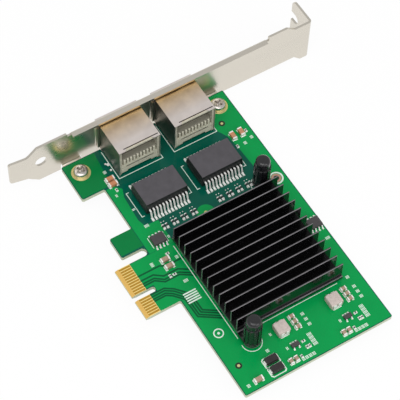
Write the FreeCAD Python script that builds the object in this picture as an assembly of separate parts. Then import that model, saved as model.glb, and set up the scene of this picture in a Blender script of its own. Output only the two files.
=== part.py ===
# Dual-port network interface card with a full-height bracket. All sizes are in millimetres.
# +X runs from the bracket along the card, +Y from the edge connector to the opposite edge,
# and +Z out of the component side. The origin is on the component side, at the insertion edge,
# in the middle of the key notch.
import FreeCAD, Part
import math
import os

# ---- circuit board and edge connector ----
board_thickness = 1.57
corner_radius = 0.6
contact_pitch = 1.0
contact_width = 0.7
contact_foil = 0.05
contact_start = 1.3
contact_length = 4.0
contacts_before_key = 11
contacts_after_key = 7
contact_margin = 0.65
key_width = 1.9
key_depth = 8.2
key_to_contact = 0.55
bevel_depth = 0.4
bevel_length = 1.2
hold_down_slot_width = 3.05
hook_width = 8.28
notch_width = 18.07
leg_width = 14.95
leg_rise = 4.46
shoulder_rise = 12.9
far_end_margin = 1.75
top_edge_margin = 0.45

# ---- bracket ----
bracket_thickness = 0.86
bend_radius = 0.4
bracket_to_board = 1.69
bracket_top = 106.62
bracket_length = 120.02
bracket_below_board = 2.05
flange_depth = 1.79
flange_to_neck = 12.9
flange_to_top = 19.62
flange_relief = 1.4
flange_root = 2.0
jack_to_flange = 0.64
tab_width = 19.05
tab_low = -6.45
tab_reach = 11.43
tab_corner = 2.0
tab_slot_width = 4.42
tab_slot_offset = 11.05
tab_slot_reach = 2.02
upper_shoulder_rise = 0.4
upper_shoulder_length = 7.6
upper_slope_length = 3.6
lower_slope_drop = 6.52
lower_slope_length = 2.8
tail_root_width = 11.6
tail_tip_width = 10.6
tail_centre_z = 5.6
tail_length = 6.4
tail_neck_length = 4.0
tail_bend_rise = 7.4
tail_kick = 1.06
tail_corner = 1.0
sheet_corner = 0.5
slope_corner = 0.8
tail_hole_radius = 2.2
tail_hole_rise = 11.5
tail_hole_z = 6.6
ear_width = 7.0
ear_reach = 10.7
ear_relief = 0.6
ear_corner = 1.2
grounding_tab_reach = 1.6
grounding_tab_length = 10.7

# ---- screws ----
screw_inset_x = 5.1
screw_inset_y = 4.9
screw_head_radius = 2.5
screw_head_height = 1.9
screw_head_rounding = 0.8
screw_shank_radius = 1.45
screw_tip_length = 1.2
screw_board_clearance = 0.15
screw_thread_clearance = 0.05
cross_recess_length = 2.9
cross_recess_width = 0.6
cross_recess_depth = 1.1
cross_recess_turn = 30
ring_pad_radius = 3.35

# ---- network jacks ----
jack_width = 15.95
jack_height = 13.3
jack_length = 16.5
jack_gap = 5.65
jack_protrusion = 0.85
jack_cutout_clearance = 0.15
screw_to_jack = 10.56
jack_to_screw = 6.53
shield_sheet = 0.25
shield_notch_depth = 0.9
shield_notch_side = 3.2
shield_notch_flare = 1.5
shield_notch_corner = 0.3
shield_tab_width = 1.2
shield_tab_below = 0.8
shield_tab_inset = 4.0
shield_slot_clearance = 0.2
plug_width = 11.9
plug_height = 6.7
plug_depth = 11.6
plug_floor = 3.4
latch_width = 6.4
latch_height = 1.5
housing_lift = 0.3
housing_setback = 0.35
housing_rear_wall = 0.8
housing_rear_roof = 0.55
carrier_depth = 1.7
carrier_lift = 0.7
carrier_step = 1.4
carrier_top = 4.8
carrier_groove_floor = 3.0
carrier_groove_height = 0.4
carrier_groove_depth = 0.4
carrier_arch_width = 9.0
carrier_setback = 0.05
carrier_shelf_drop = 0.6
rib_count = 10
rib_pitch = 1.27
rib_width = 0.62
rib_depth = 0.55
rib_top = 8.1
rib_root = 0.3
rib_slope = 0.3
spring_count = 8
spring_pitch = 1.02
spring_width = 0.45
spring_thickness = 0.3
spring_setback = 2.0
spring_drop = 2.0
spring_end_gap = 1.5
light_width = 2.2
light_height = 1.5
light_depth = 2.0
light_below_roof = 0.8
light_side = 0.7
light_recess = 0.05

# ---- transformers ----
transformer_to_jack = 7.75
transformer_width = 10.4
transformer_length = 16.4
transformer_height = 5.8
transformer_lift = 0.3
transformer_parting = 3.1
transformer_draft = 0.35
transformer_lead_count = 12
transformer_lead_pitch = 1.27
transformer_lead_width = 0.55
transformer_lead_thickness = 0.3
transformer_lead_reach = 2.85
transformer_foot = 1.2

# ---- heatsink, its chip and its pins ----
row_to_heatsink = 5.35
heatsink_offset_y = 3.35
heatsink_length_x = 41.1
heatsink_length_y = 40.3
heatsink_base = 1.3
heatsink_height = 8.0
fin_count = 12
fin_pitch = 3.55
fin_root = 0.7
fin_tip = 0.5
ear_radius = 3.05
pin_beyond_heatsink = 4.05
pin_inset_y = 2.8
controller_size = 25.0
controller_height = 1.15
controller_corner_cut = 0.8
thermal_pad_size = 24.0
thermal_pad_height = 0.25
pin_head_radius = 2.55
pin_skirt_radius = 2.95
pin_skirt_height = 8.6
pin_head_height = 12.4
pin_rounding = 1.3
pin_shank_radius = 1.4
pin_hole_clearance = 0.15
pin_barb_radius = 1.9
pin_barb_below = 3.4
pin_barb_grip = 0.1
pin_tip_radius = 0.9
pin_split_width = 0.6
flute_count = 12
flute_depth = 0.3
flute_width = 0.5

# ---- small-outline chips ----
outline_chip_length = 4.9
outline_chip_width = 3.9
outline_chip_height = 1.65
outline_chip_lift = 0.15
outline_chip_leads_per_side = 4
outline_chip_lead_reach = 1.05
outline_chip_lead_pitch = 1.27
outline_chip_lead_width = 0.42
outline_chip_lead_thickness = 0.2
memory_to_heatsink_x = 2.55
memory_to_heatsink_y = 1.15
edge_chip_to_heatsink = 1.35
edge_chip_offset = -2.1
outline_chip_draft = 0.12
outline_chip_foot = 0.5

# ---- voltage converters ----
converter_pitch = 20.2
inductor_to_heatsink = 2.95
inductor_length = 4.9
inductor_width = 4.6
inductor_height = 2.9
inductor_edge = 0.5
inductor_lift = 0.1
inductor_draft = 0.15
inductor_beyond_start = 13.1
terminal_thickness = 0.2
terminal_width = 3.0
terminal_slot_width = 0.8
terminal_wrap = 1.1
regulator_to_inductor = 3.5
regulator_y_offset = 1.0
regulator_length = 2.9
regulator_width = 1.6
regulator_height = 1.1
regulator_lift = 0.1
regulator_lead_reach = 0.65
regulator_lead_pitch = 0.95
regulator_lead_width = 0.4
regulator_lead_thickness = 0.15
regulator_foot = 0.3
regulator_draft = 0.08

# ---- diodes ----
diode_length = 4.3
diode_width = 2.5
diode_height = 2.1
diode_gap = 0.95
diode_terminal_reach = 0.4
diode_terminal_width = 1.5
diode_to_inductor = 4.2
diode_to_regulator = 0.8
diode_draft = 0.12
diode_foot = 0.6
terminal_foil = 0.1

# ---- chip capacitors and resistors: length, width, height, cap ----
size_1206 = (3.2, 1.6, 1.3, 0.5)
size_0805 = (2.0, 1.25, 1.1, 0.4)
size_0603 = (1.6, 0.8, 0.6, 0.35)
size_0402 = (1.0, 0.5, 0.4, 0.25)
cap_skin = 0.03
resistors_to_transformer = 3.75
pair_spacing = 1.3
pair_pitch = 3.72
pair_offset = -4.86
pairs_per_transformer = 4
row_above_shoulder = 1.8
input_pair_offset = -0.4
input_pair_spacing = 2.2
supply_pair_offset = 7.7
supply_pair_spacing = 2.8
corner_part_offset = 0.1
corner_part_rise = 3.0
upper_pair_offset = -7.4
upper_pair_gap = 3.9
upper_pair_spacing = 3.3
trio_spacing = 2.05
trio_offset = -0.4
trio_gap = 3.1
regulator_to_column = 2.6
column_offset = -3.3
column_spacing = 2.0
small_part_gap = 1.6
small_part_spacing = 1.0
input_small_gap = 2.4
transformer_small_offset = 3.2
transformer_small_gap = 3.2
upper_small_inset = 2.1
memory_small_gap = 3.85
supply_small_gap = 3.2
supply_small_spacing = 1.6

# ---- working allowances ----
overcut = 1.0
round_end = 0.999

Vector = FreeCAD.Vector
PLACE = {
    "x": lambda u, v, w: Vector(w, u, v),
    "y": lambda u, v, w: Vector(u, w, v),
    "z": lambda u, v, w: Vector(u, v, w),
}

# ---- places worked out from the sizes above ----
tongue_left = -(key_width / 2 + key_to_contact + (contacts_before_key - 1) * contact_pitch + contact_margin)
tongue_right = key_width / 2 + key_to_contact + (contacts_after_key - 1) * contact_pitch + contact_margin
hook_right = tongue_left - hold_down_slot_width
hook_left = hook_right - hook_width
leg_right = hook_left - notch_width
board_left = leg_right - leg_width
solder_side = -board_thickness

plate_inner = board_left - bracket_to_board
plate_outer = plate_inner - bracket_thickness
plate_middle = (plate_inner + plate_outer) / 2
plate_low = solder_side - bracket_below_board
plate_high = jack_height + jack_to_flange + bracket_thickness
bracket_bottom = bracket_top - bracket_length
tail_root_y = bracket_bottom + tail_length
tail_neck_y = tail_root_y + tail_neck_length
tail_bend_y = bracket_bottom + tail_bend_rise
tail_hole_y = bracket_bottom + tail_hole_rise
flange_start = tail_neck_y + flange_to_neck
flange_end = bracket_top - flange_to_top

screw_x = board_left + screw_inset_x
screw_low_y = leg_rise + screw_inset_y
jack_front = plate_outer - jack_protrusion
jack_rear = jack_front + jack_length
jack_pitch = jack_width + jack_gap
jack_ys = [screw_low_y + screw_to_jack + jack_width / 2 + i * jack_pitch for i in range(2)]
jack_end_y = jack_ys[-1] + jack_width / 2

transformer_x = jack_rear + transformer_to_jack + transformer_width / 2
transformer_right = transformer_x + transformer_width / 2
resistor_x = transformer_right + transformer_lead_reach + resistors_to_transformer

heatsink_left = resistor_x + size_0603[0] / 2 + row_to_heatsink
heatsink_right = heatsink_left + heatsink_length_x
heatsink_x = (heatsink_left + heatsink_right) / 2
heatsink_y = sum(jack_ys) / 2 + heatsink_offset_y
heatsink_start_y = heatsink_y - heatsink_length_y / 2
heatsink_end_y = heatsink_y + heatsink_length_y / 2
heatsink_floor = controller_height + thermal_pad_height
pin_places = [
    (heatsink_right + pin_beyond_heatsink, heatsink_start_y + pin_inset_y, 1),
    (heatsink_left - pin_beyond_heatsink, heatsink_end_y - pin_inset_y, -1),
]

memory_x = heatsink_left - memory_to_heatsink_x
memory_y = heatsink_start_y - memory_to_heatsink_y - outline_chip_length / 2
edge_chip_x = heatsink_x + edge_chip_offset

inductor_x = heatsink_right + inductor_to_heatsink + inductor_length / 2
inductor_ys = [heatsink_start_y + inductor_beyond_start + i * converter_pitch for i in range(2)]
regulator_x = inductor_x + inductor_length / 2 + regulator_to_inductor + regulator_width / 2
far_column_x = regulator_x + regulator_width / 2 + regulator_to_column + size_0805[0] / 2
board_right = far_column_x + size_0805[0] / 2 + far_end_margin
jack_column_top = jack_end_y + jack_to_screw + screw_inset_y
heatsink_column_top = heatsink_end_y + edge_chip_to_heatsink + outline_chip_length + top_edge_margin
board_top = max(jack_column_top, heatsink_column_top)
edge_chip_y = board_top - top_edge_margin - outline_chip_length / 2
low_row_y = shoulder_rise + row_above_shoulder + size_1206[0] / 2


# ---- shapes ----
def towards(start, end):
    """Unit direction from one point of a plane to another."""
    span = math.hypot(end[0] - start[0], end[1] - start[1])
    return (end[0] - start[0]) / span, (end[1] - start[1]) / span


def rounded_wire(corners, place, level):
    """Closed wire through corners given as (u, v, radius)."""
    edges = []
    joints = []
    for i, (u, v, radius) in enumerate(corners):
        back = towards((u, v), corners[i - 1])
        ahead = towards((u, v), corners[(i + 1) % len(corners)])
        if radius <= 0:
            joints.append((place(u, v, level), place(u, v, level)))
            continue
        half = math.acos(max(-1.0, min(1.0, back[0] * ahead[0] + back[1] * ahead[1]))) / 2
        reach = radius / math.tan(half)
        middle = towards((0, 0), (back[0] + ahead[0], back[1] + ahead[1]))
        depth = radius / math.sin(half) - radius
        first = place(u + back[0] * reach, v + back[1] * reach, level)
        crown = place(u + middle[0] * depth, v + middle[1] * depth, level)
        last = place(u + ahead[0] * reach, v + ahead[1] * reach, level)
        edges.append((i, Part.Arc(first, crown, last).toShape()))
        joints.append((first, last))
    sides = []
    for i, (_, last) in enumerate(joints):
        following = joints[(i + 1) % len(joints)][0]
        if last.distanceToPoint(following) > 1e-6:
            sides.append((i + 0.5, Part.makeLine(last, following)))
    return Part.Wire([edge for _, edge in sorted(edges + sides, key=lambda pair: pair[0])])


def slab(corners, start, end, axis="z"):
    """Solid of a rounded outline drawn out along an axis."""
    place = PLACE[axis]
    face = Part.Face(rounded_wire(corners, place, start))
    return face.extrude(place(0, 0, end) - place(0, 0, start))


def square(points, radius=0.0):
    """Corners that all have the same radius."""
    return [(u, v, radius) for u, v in points]


def rectangle(u0, u1, v0, v1, radius=0.0):
    """Corners of a rectangle."""
    return square([(u0, v0), (u1, v0), (u1, v1), (u0, v1)], radius)


def block(x0, x1, y0, y1, z0, z1):
    """Rectangular block between its limits."""
    return Part.makeBox(x1 - x0, y1 - y0, z1 - z0, Vector(x0, y0, z0))


def rod(x, y, radius, z0, z1):
    """Upright cylinder."""
    return Part.makeCylinder(radius, z1 - z0, Vector(x, y, z0))


def strip(path, thickness, inner_radius=0.0):
    """Outline of a bent sheet whose middle follows the path."""
    left = []
    right = []
    for i, (u, v) in enumerate(path):
        after = towards((u, v), path[i + 1]) if i + 1 < len(path) else towards(path[i - 1], (u, v))
        before = towards(path[i - 1], (u, v)) if i else after
        normal = (-before[1] - after[1], before[0] + after[0])
        share = thickness / 2 / (1 + before[0] * after[0] + before[1] * after[1])
        turn = before[0] * after[1] - before[1] * after[0]
        bent = inner_radius if abs(turn) > 1e-9 else 0.0
        outer = bent + thickness if bent else 0.0
        left.append((u + normal[0] * share, v + normal[1] * share, bent if turn > 0 else outer))
        right.append((u - normal[0] * share, v - normal[1] * share, outer if turn > 0 else bent))
    return left + right[::-1]


def drafted(x, y, width, length, low, parting, high, draft):
    """Moulded body that narrows away from its parting line."""
    def ring(z, inset):
        points = rectangle(x - width / 2 + inset, x + width / 2 - inset,
                           y - length / 2 + inset, y + length / 2 - inset)
        return rounded_wire(points, PLACE["z"], z)
    lower = Part.makeLoft([ring(low, draft), ring(parting, 0)], True, True)
    upper = Part.makeLoft([ring(parting, 0), ring(high, draft)], True, True)
    return lower.fuse(upper).removeSplitter()


def turned(outline, rounding=0.0, steps=1):
    """Solid turned about Z from its (radius, z) outline, its top edge rounded off in flats."""
    edge, top = outline[-1]
    rim = [(edge, top)]
    if rounding:
        turns = [math.pi / 2 * i / steps for i in range(steps + 1)]
        rim = [(edge - rounding * (1 - math.cos(turn)), top - rounding * (1 - math.sin(turn)))
               for turn in turns]
    points = [Vector(radius, 0, z) for radius, z in outline[:-1] + rim + [(0, top)]]
    edges = [Part.makeLine(start, end) for start, end in zip(points, points[1:] + points[:1])]
    return Part.Face(Part.Wire(edges)).revolve(Vector(0, 0, 0), Vector(0, 0, 1), 360)


def half_turn(shape, x, y):
    """Copy turned half round about an upright line."""
    copy = shape.copy()
    copy.rotate(Vector(x, y, 0), Vector(0, 0, 1), 180)
    return copy


def gull_wing(x, y, body_half, exit_z, reach, width, thickness, foot):
    """Formed lead that leaves a body towards +X and stands on the board."""
    middle = thickness / 2
    knee = x + body_half + (reach - foot) / 2
    path = [(x + body_half, exit_z), (knee, exit_z), (x + body_half + reach - foot, middle),
            (x + body_half + reach, middle)]
    return slab(strip(path, thickness), y - width / 2, y + width / 2, "y")


def lead_rows(x, y, body_half, exit_z, count, pitch, reach, width, thickness, foot):
    """The same leads along both long sides of a body."""
    leads = []
    for i in range(count):
        lead = gull_wing(x, y + (i - (count - 1) / 2) * pitch, body_half, exit_z,
                         reach, width, thickness, foot)
        leads += [lead, half_turn(lead, x, y)]
    return leads


def chip(x, y, size, along="x"):
    """Body and two end caps of a chip part, lying along an axis."""
    length, width, height, cap = size
    body = block(-length / 2 + cap, length / 2 - cap, -width / 2 + cap_skin, width / 2 - cap_skin,
                 cap_skin, height - cap_skin)
    ends = [block(-length / 2, -length / 2 + cap, -width / 2, width / 2, 0, height),
            block(length / 2 - cap, length / 2, -width / 2, width / 2, 0, height)]
    for shape in [body] + ends:
        if along == "y":
            shape.rotate(Vector(0, 0, 0), Vector(0, 0, 1), 90)
        shape.translate(Vector(x, y, 0))
    return body, ends


# ---- board ----
def board_outline():
    """Outline of the board, anticlockwise from the lower corner beside the bracket."""
    r = corner_radius
    slot = hold_down_slot_width / 2
    key_end = key_width / 2 * round_end
    return [
        (board_left, leg_rise, r), (leg_right, leg_rise, r), (leg_right, shoulder_rise, r),
        (hook_left, shoulder_rise, r), (hook_left, leg_rise, r), (hook_right, leg_rise, r),
        (hook_right, shoulder_rise, slot * round_end), (tongue_left, shoulder_rise, slot * round_end),
        (tongue_left, 0, 0), (-key_width / 2, 0, 0),
        (-key_width / 2, key_depth, key_end), (key_width / 2, key_depth, key_end),
        (key_width / 2, 0, 0), (tongue_right, 0, 0),
        (tongue_right, shoulder_rise, r), (board_right, shoulder_rise, r),
        (board_right, board_top, r), (board_left, board_top, r),
    ]


def circuit_board():
    board = slab(board_outline(), solder_side, 0)
    for face_z, inward in ((0, -1), (solder_side, 1)):
        outside = face_z - inward * overcut
        bevel = square([(-overcut, outside), (bevel_length, outside), (bevel_length, face_z),
                        (0, face_z + inward * bevel_depth), (-overcut, face_z + inward * bevel_depth)])
        board = board.cut(slab(bevel, tongue_left - overcut, tongue_right + overcut, "x"))
    for y in screw_ys():
        radius = screw_shank_radius + screw_board_clearance
        board = board.cut(rod(screw_x, y, radius, solder_side - overcut, overcut))
    for x, y, _ in pin_places:
        radius = pin_shank_radius + pin_hole_clearance
        board = board.cut(rod(x, y, radius, solder_side - overcut, overcut))
    for y in jack_ys:
        for side in (-1, 1):
            for x0, x1, y0, y1 in shield_tab_limits(y, side):
                gap = shield_slot_clearance
                board = board.cut(block(x0 - gap, x1 + gap, y0 - gap, y1 + gap,
                                        solder_side - overcut, overcut))
    return board


def edge_contacts():
    """Gold contacts on both faces, either side of the key notch."""
    places = [-(key_width / 2 + key_to_contact) - i * contact_pitch for i in range(contacts_before_key)]
    places += [key_width / 2 + key_to_contact + i * contact_pitch for i in range(contacts_after_key)]
    contacts = []
    for x in places:
        for low in (0, solder_side - contact_foil):
            contacts.append(block(x - contact_width / 2, x + contact_width / 2, contact_start,
                                  contact_start + contact_length, low, low + contact_foil))
    return Part.makeCompound(contacts)


def ring_pads():
    """Gold rings under the screw heads."""
    rings = []
    for y in screw_ys():
        hole = rod(screw_x, y, screw_shank_radius + screw_board_clearance, -overcut, overcut)
        rings.append(rod(screw_x, y, ring_pad_radius, 0, contact_foil).cut(hole))
    return Part.makeCompound(rings)


def screw_ys():
    return [screw_low_y, board_top - screw_inset_y]


# ---- bracket ----
def bracket_front():
    """Outline of the bracket seen along the card, as (y, z, radius)."""
    root = plate_high - bracket_thickness - bend_radius
    crest = plate_high + upper_shoulder_rise
    tab_high = tab_low + tab_width
    slope_end = flange_end + flange_relief + upper_shoulder_length + upper_slope_length
    low_slope_y = bracket_top - lower_slope_drop
    return [
        (bracket_bottom, tail_centre_z - tail_tip_width / 2, tail_corner),
        (tail_root_y, tail_centre_z - tail_root_width / 2, sheet_corner),
        (tail_neck_y, plate_low, sheet_corner),
        (low_slope_y, plate_low, slope_corner),
        (low_slope_y + lower_slope_length, tab_low, slope_corner),
        (bracket_top, tab_low, 0), (bracket_top, tab_high, 0),
        (slope_end, tab_high, slope_corner),
        (slope_end - upper_slope_length, crest, slope_corner),
        (flange_end + flange_relief, crest, sheet_corner),
        (flange_end + flange_relief, root, 0), (flange_start - flange_relief, root, 0),
        (flange_start - flange_relief, plate_high, sheet_corner),
        (tail_neck_y, plate_high, sheet_corner),
        (tail_root_y, tail_centre_z + tail_root_width / 2, sheet_corner),
        (bracket_bottom, tail_centre_z + tail_tip_width / 2, tail_corner),
    ]


def bracket_ear(y):
    """Ear folded under the board, with its threaded hole."""
    level = solder_side - bracket_thickness / 2
    path = [(plate_middle, 0), (plate_middle, level), (plate_inner + ear_reach, level)]
    ear = slab(strip(path, bracket_thickness, bend_radius), y - ear_width / 2, y + ear_width / 2, "y")
    trim = rectangle(plate_outer - ear_reach, plate_inner + ear_reach, y - ear_width / 2, y + ear_width / 2,
                     ear_corner)
    ear = ear.common(slab(trim, solder_side - 2 * overcut, overcut))
    hole = rod(screw_x, y, screw_shank_radius + screw_thread_clearance,
               solder_side - 2 * overcut, solder_side + overcut)
    return ear.cut(hole)


def bracket():
    """Steel bracket: one sheet with a folded tab, flange, ears and grounding tabs."""
    tab_middle = bracket_top - bracket_thickness / 2
    tab_tip = plate_inner - tab_reach
    side_path = [(plate_middle - tail_kick, bracket_bottom), (plate_middle, tail_bend_y),
                 (plate_middle, tab_middle), (tab_tip, tab_middle)]
    sheet = strip(side_path, bracket_thickness, bend_radius)
    body = slab(sheet, tab_low - overcut, plate_high + overcut, "z")
    body = body.common(slab(bracket_front(), tab_tip - overcut, plate_inner + overcut, "x"))
    flange_path = [(plate_middle, plate_high - bracket_thickness - flange_root),
                   (plate_middle, plate_high - bracket_thickness / 2),
                   (plate_inner + flange_depth, plate_high - bracket_thickness / 2)]
    body = body.fuse(slab(strip(flange_path, bracket_thickness, bend_radius), flange_start, flange_end, "y"))
    for y in screw_ys():
        half = ear_width / 2 + ear_relief
        window = block(plate_outer - overcut, plate_inner + overcut, y - half, y + half,
                       plate_low - overcut, solder_side / 2)
        body = body.cut(window).fuse(bracket_ear(y))
    for y in jack_ys:
        body = body.cut(jack_cutout(y)).fuse(grounding_tab(y))
    for cutter in tab_cutters(tab_tip, tab_middle):
        body = body.cut(cutter)
    start = Vector(plate_middle - 2 * overcut, tail_hole_y, tail_hole_z)
    tail_hole = Part.makeCylinder(tail_hole_radius, 4 * overcut, start, Vector(1, 0, 0))
    return body.cut(tail_hole).removeSplitter()


def tab_cutters(tab_tip, tab_middle):
    """The open slot of the tab and what lies outside its rounded corners."""
    slot_low = tab_low + tab_slot_offset - tab_slot_width / 2
    slot_high = slot_low + tab_slot_width
    slot_end = tab_tip + tab_slot_reach + tab_slot_width / 2
    bottom = tab_slot_width / 2 * round_end
    slot = [(tab_tip - overcut, slot_low, 0), (slot_end, slot_low, bottom),
            (slot_end, slot_high, bottom), (tab_tip - overcut, slot_high, 0)]
    cutters = [slab(slot, tab_middle - overcut, bracket_top + overcut, "y")]
    for z, inward in ((tab_low, 1), (tab_low + tab_width, -1)):
        limits = sorted((z - inward, z + inward * tab_corner))
        piece = slab(rectangle(tab_tip - overcut, tab_tip + tab_corner, *limits), tab_middle - overcut,
                     bracket_top + overcut, "y")
        centre = Vector(tab_tip + tab_corner, tab_middle - 2 * overcut, z + inward * tab_corner)
        cutters.append(piece.cut(Part.makeCylinder(tab_corner, 4 * overcut, centre, Vector(0, 1, 0))))
    return cutters


def jack_cutout(y):
    """Opening in the plate for one jack, with room for its grounding tab."""
    low = y - jack_width / 2 - jack_cutout_clearance - bracket_thickness - bend_radius
    high = y + jack_width / 2 + jack_cutout_clearance
    start = plate_outer - overcut
    end = plate_inner + overcut
    opening = block(start, end, low + bracket_thickness + bend_radius, high,
                    -jack_cutout_clearance, jack_height + jack_cutout_clearance)
    bend = block(start, end, low, high, *grounding_tab_span())
    return opening.fuse(bend)


def grounding_tab_span():
    low = (jack_height - grounding_tab_length) / 2
    return low, low + grounding_tab_length


def grounding_tab(y):
    """Tab folded inward beside one jack."""
    level = y - jack_width / 2 - jack_cutout_clearance - bracket_thickness / 2
    path = [(plate_middle, level - bracket_thickness - bend_radius), (plate_middle, level),
            (plate_inner + grounding_tab_reach, level)]
    return slab(strip(path, bracket_thickness, bend_radius), *grounding_tab_span(), "z")


def bracket_screws():
    """Pan-head cross-recess screws that hold the board to the ears."""
    seat = contact_foil
    top = seat + screw_head_height
    tip = solder_side - bracket_thickness - screw_tip_length
    half = cross_recess_length / 2
    width = cross_recess_width / 2
    screws = []
    for y in screw_ys():
        screw = turned([(0, tip), (screw_shank_radius, tip), (screw_shank_radius, seat),
                        (screw_head_radius, seat), (screw_head_radius, top)], screw_head_rounding, 2)
        for across, along in ((half, width), (width, half)):
            screw = screw.cut(block(-across, across, -along, along, top - cross_recess_depth, top + overcut))
        screw.rotate(Vector(0, 0, 0), Vector(0, 0, 1), cross_recess_turn)
        screw.translate(Vector(screw_x, y, 0))
        screws.append(screw)
    return Part.makeCompound(screws)


# ---- network jacks ----
def shield_tab_limits(y, side):
    """Limits in X and Y of the solder tabs on one side of a shield."""
    wall = y + side * jack_width / 2
    inner = wall - side * shield_sheet
    for x in (jack_front + shield_tab_inset, jack_rear - shield_tab_inset):
        yield x - shield_tab_width / 2, x + shield_tab_width / 2, min(wall, inner), max(wall, inner)


def light_limits(y, side):
    """Limits in Y and Z of one light window."""
    outer = y + side * (jack_width / 2 - shield_sheet - light_side)
    inner = outer - side * light_width
    top = jack_height - light_below_roof
    return min(outer, inner), max(outer, inner), top - light_height, top


def plug_opening(y, x0, x1):
    """Room for the plug and its latch."""
    plug = block(x0, x1, y - plug_width / 2, y + plug_width / 2, plug_floor, plug_floor + plug_height)
    latch = block(x0, x1, y - latch_width / 2, y + latch_width / 2, plug_floor - latch_height, plug_floor)
    return plug.fuse(latch).removeSplitter()


def jack_shield(y):
    """Sheet-metal shield: front, roof and sides, with solder tabs through the board."""
    half = jack_width / 2
    shield = block(jack_front, jack_rear, y - half, y + half, 0, jack_height)
    inside = block(jack_front + shield_sheet, jack_rear + overcut, y - half + shield_sheet,
                   y + half - shield_sheet, -overcut, jack_height - shield_sheet)
    shield = shield.cut(inside)
    shield = shield.cut(plug_opening(y, jack_front - overcut, jack_front + overcut))
    foot = half - shield_notch_side
    mouth = foot + shield_notch_flare
    notch_x = jack_rear - shield_notch_depth
    notch = [(notch_x, y - foot, shield_notch_corner), (jack_rear + overcut, y - mouth, 0),
             (jack_rear + overcut, y + mouth, 0), (notch_x, y + foot, shield_notch_corner)]
    shield = shield.cut(slab(notch, jack_height - overcut, jack_height + overcut))
    for side in (-1, 1):
        y0, y1, z0, z1 = light_limits(y, side)
        shield = shield.cut(block(jack_front - overcut, jack_front + overcut, y0, y1, z0, z1))
        for x0, x1, t0, t1 in shield_tab_limits(y, side):
            shield = shield.fuse(block(x0, x1, t0, t1, solder_side - shield_tab_below, 0))
    return shield.removeSplitter()


def jack_housing(y):
    """Moulded housing with the plug cavity, light pockets and rear chamber."""
    front = jack_front + shield_sheet
    rear = jack_rear - housing_setback
    half = jack_width / 2 - shield_sheet
    roof = jack_height - shield_sheet
    housing = block(front, rear, y - half, y + half, housing_lift, roof)
    housing = housing.cut(plug_opening(y, front - overcut, jack_front + plug_depth))
    chamber_half = half - housing_rear_wall
    housing = housing.cut(block(rear - chamber_depth(), rear + overcut, y - chamber_half, y + chamber_half,
                                housing_lift - overcut, roof - housing_rear_roof))
    for side in (-1, 1):
        y0, y1, z0, z1 = light_limits(y, side)
        housing = housing.cut(block(front - overcut, front + light_depth, y0, y1, z0, z1))
    return housing.removeSplitter()


def chamber_depth():
    """Depth of the chamber behind the cavity, which leaves a wall before the plug."""
    return jack_length - housing_setback - plug_depth - housing_rear_wall


def jack_carrier(y):
    """Stepped insert in the rear chamber, with upright ribs between its wires."""
    rear = jack_rear - housing_setback
    half = jack_width / 2 - shield_sheet - housing_rear_wall
    back = rear - chamber_depth()
    face = rear - carrier_setback
    shelf = face - rib_depth
    shelf_z = rib_top - carrier_shelf_drop
    groove_top = carrier_groove_floor + carrier_groove_height
    groove_end = face - carrier_groove_depth
    side = [(back, carrier_lift), (face, carrier_lift), (face, carrier_groove_floor),
            (groove_end, carrier_groove_floor), (groove_end, groove_top), (face, groove_top),
            (face, carrier_top), (shelf, carrier_top), (shelf, shelf_z), (shelf - carrier_depth, shelf_z),
            (shelf - carrier_depth, rib_top), (back, rib_top)]
    insert = slab(square(side), y - half, y + half, "y")
    arch = block(face - carrier_depth, face + overcut, y - carrier_arch_width / 2,
                 y + carrier_arch_width / 2, 0, carrier_step)
    insert = insert.cut(arch)
    for i in range(rib_count):
        middle = y + (i - (rib_count - 1) / 2) * rib_pitch
        profile = square([(shelf - rib_root, carrier_top - rib_root), (face, carrier_top - rib_root),
                          (face, shelf_z - rib_slope), (shelf, shelf_z), (shelf - rib_root, shelf_z)])
        insert = insert.fuse(slab(profile, middle - rib_width / 2, middle + rib_width / 2, "y"))
    return insert.removeSplitter()


def jack_springs(y):
    """Gold contact wires under the roof of the plug cavity."""
    wall = jack_front + plug_depth
    ceiling = plug_floor + plug_height - spring_thickness / 2
    tip = jack_front + spring_setback
    path = [(wall, ceiling), (tip + spring_thickness, ceiling), (tip, ceiling - 2.5 * spring_thickness),
            (wall - spring_end_gap, ceiling - spring_drop)]
    springs = []
    for i in range(spring_count):
        middle = y + (i - (spring_count - 1) / 2) * spring_pitch
        springs.append(slab(strip(path, spring_thickness), middle - spring_width / 2,
                            middle + spring_width / 2, "y"))
    return Part.makeCompound(springs)


def jack_lights(y):
    """Two light lenses in the front of a jack."""
    lenses = []
    for side in (-1, 1):
        y0, y1, z0, z1 = light_limits(y, side)
        lenses.append(block(jack_front + light_recess, jack_front + shield_sheet + light_depth,
                            y0, y1, z0, z1))
    return Part.makeCompound(lenses)


# ---- transformers ----
def transformer_body(y):
    """Moulded body of one transformer."""
    return drafted(transformer_x, y, transformer_width, transformer_length, transformer_lift,
                   transformer_parting, transformer_height, transformer_draft)


def transformer_leads(y):
    leads = lead_rows(transformer_x, y, transformer_width / 2, transformer_parting, transformer_lead_count,
                      transformer_lead_pitch, transformer_lead_reach, transformer_lead_width,
                      transformer_lead_thickness, transformer_foot)
    return Part.makeCompound(leads)


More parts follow.
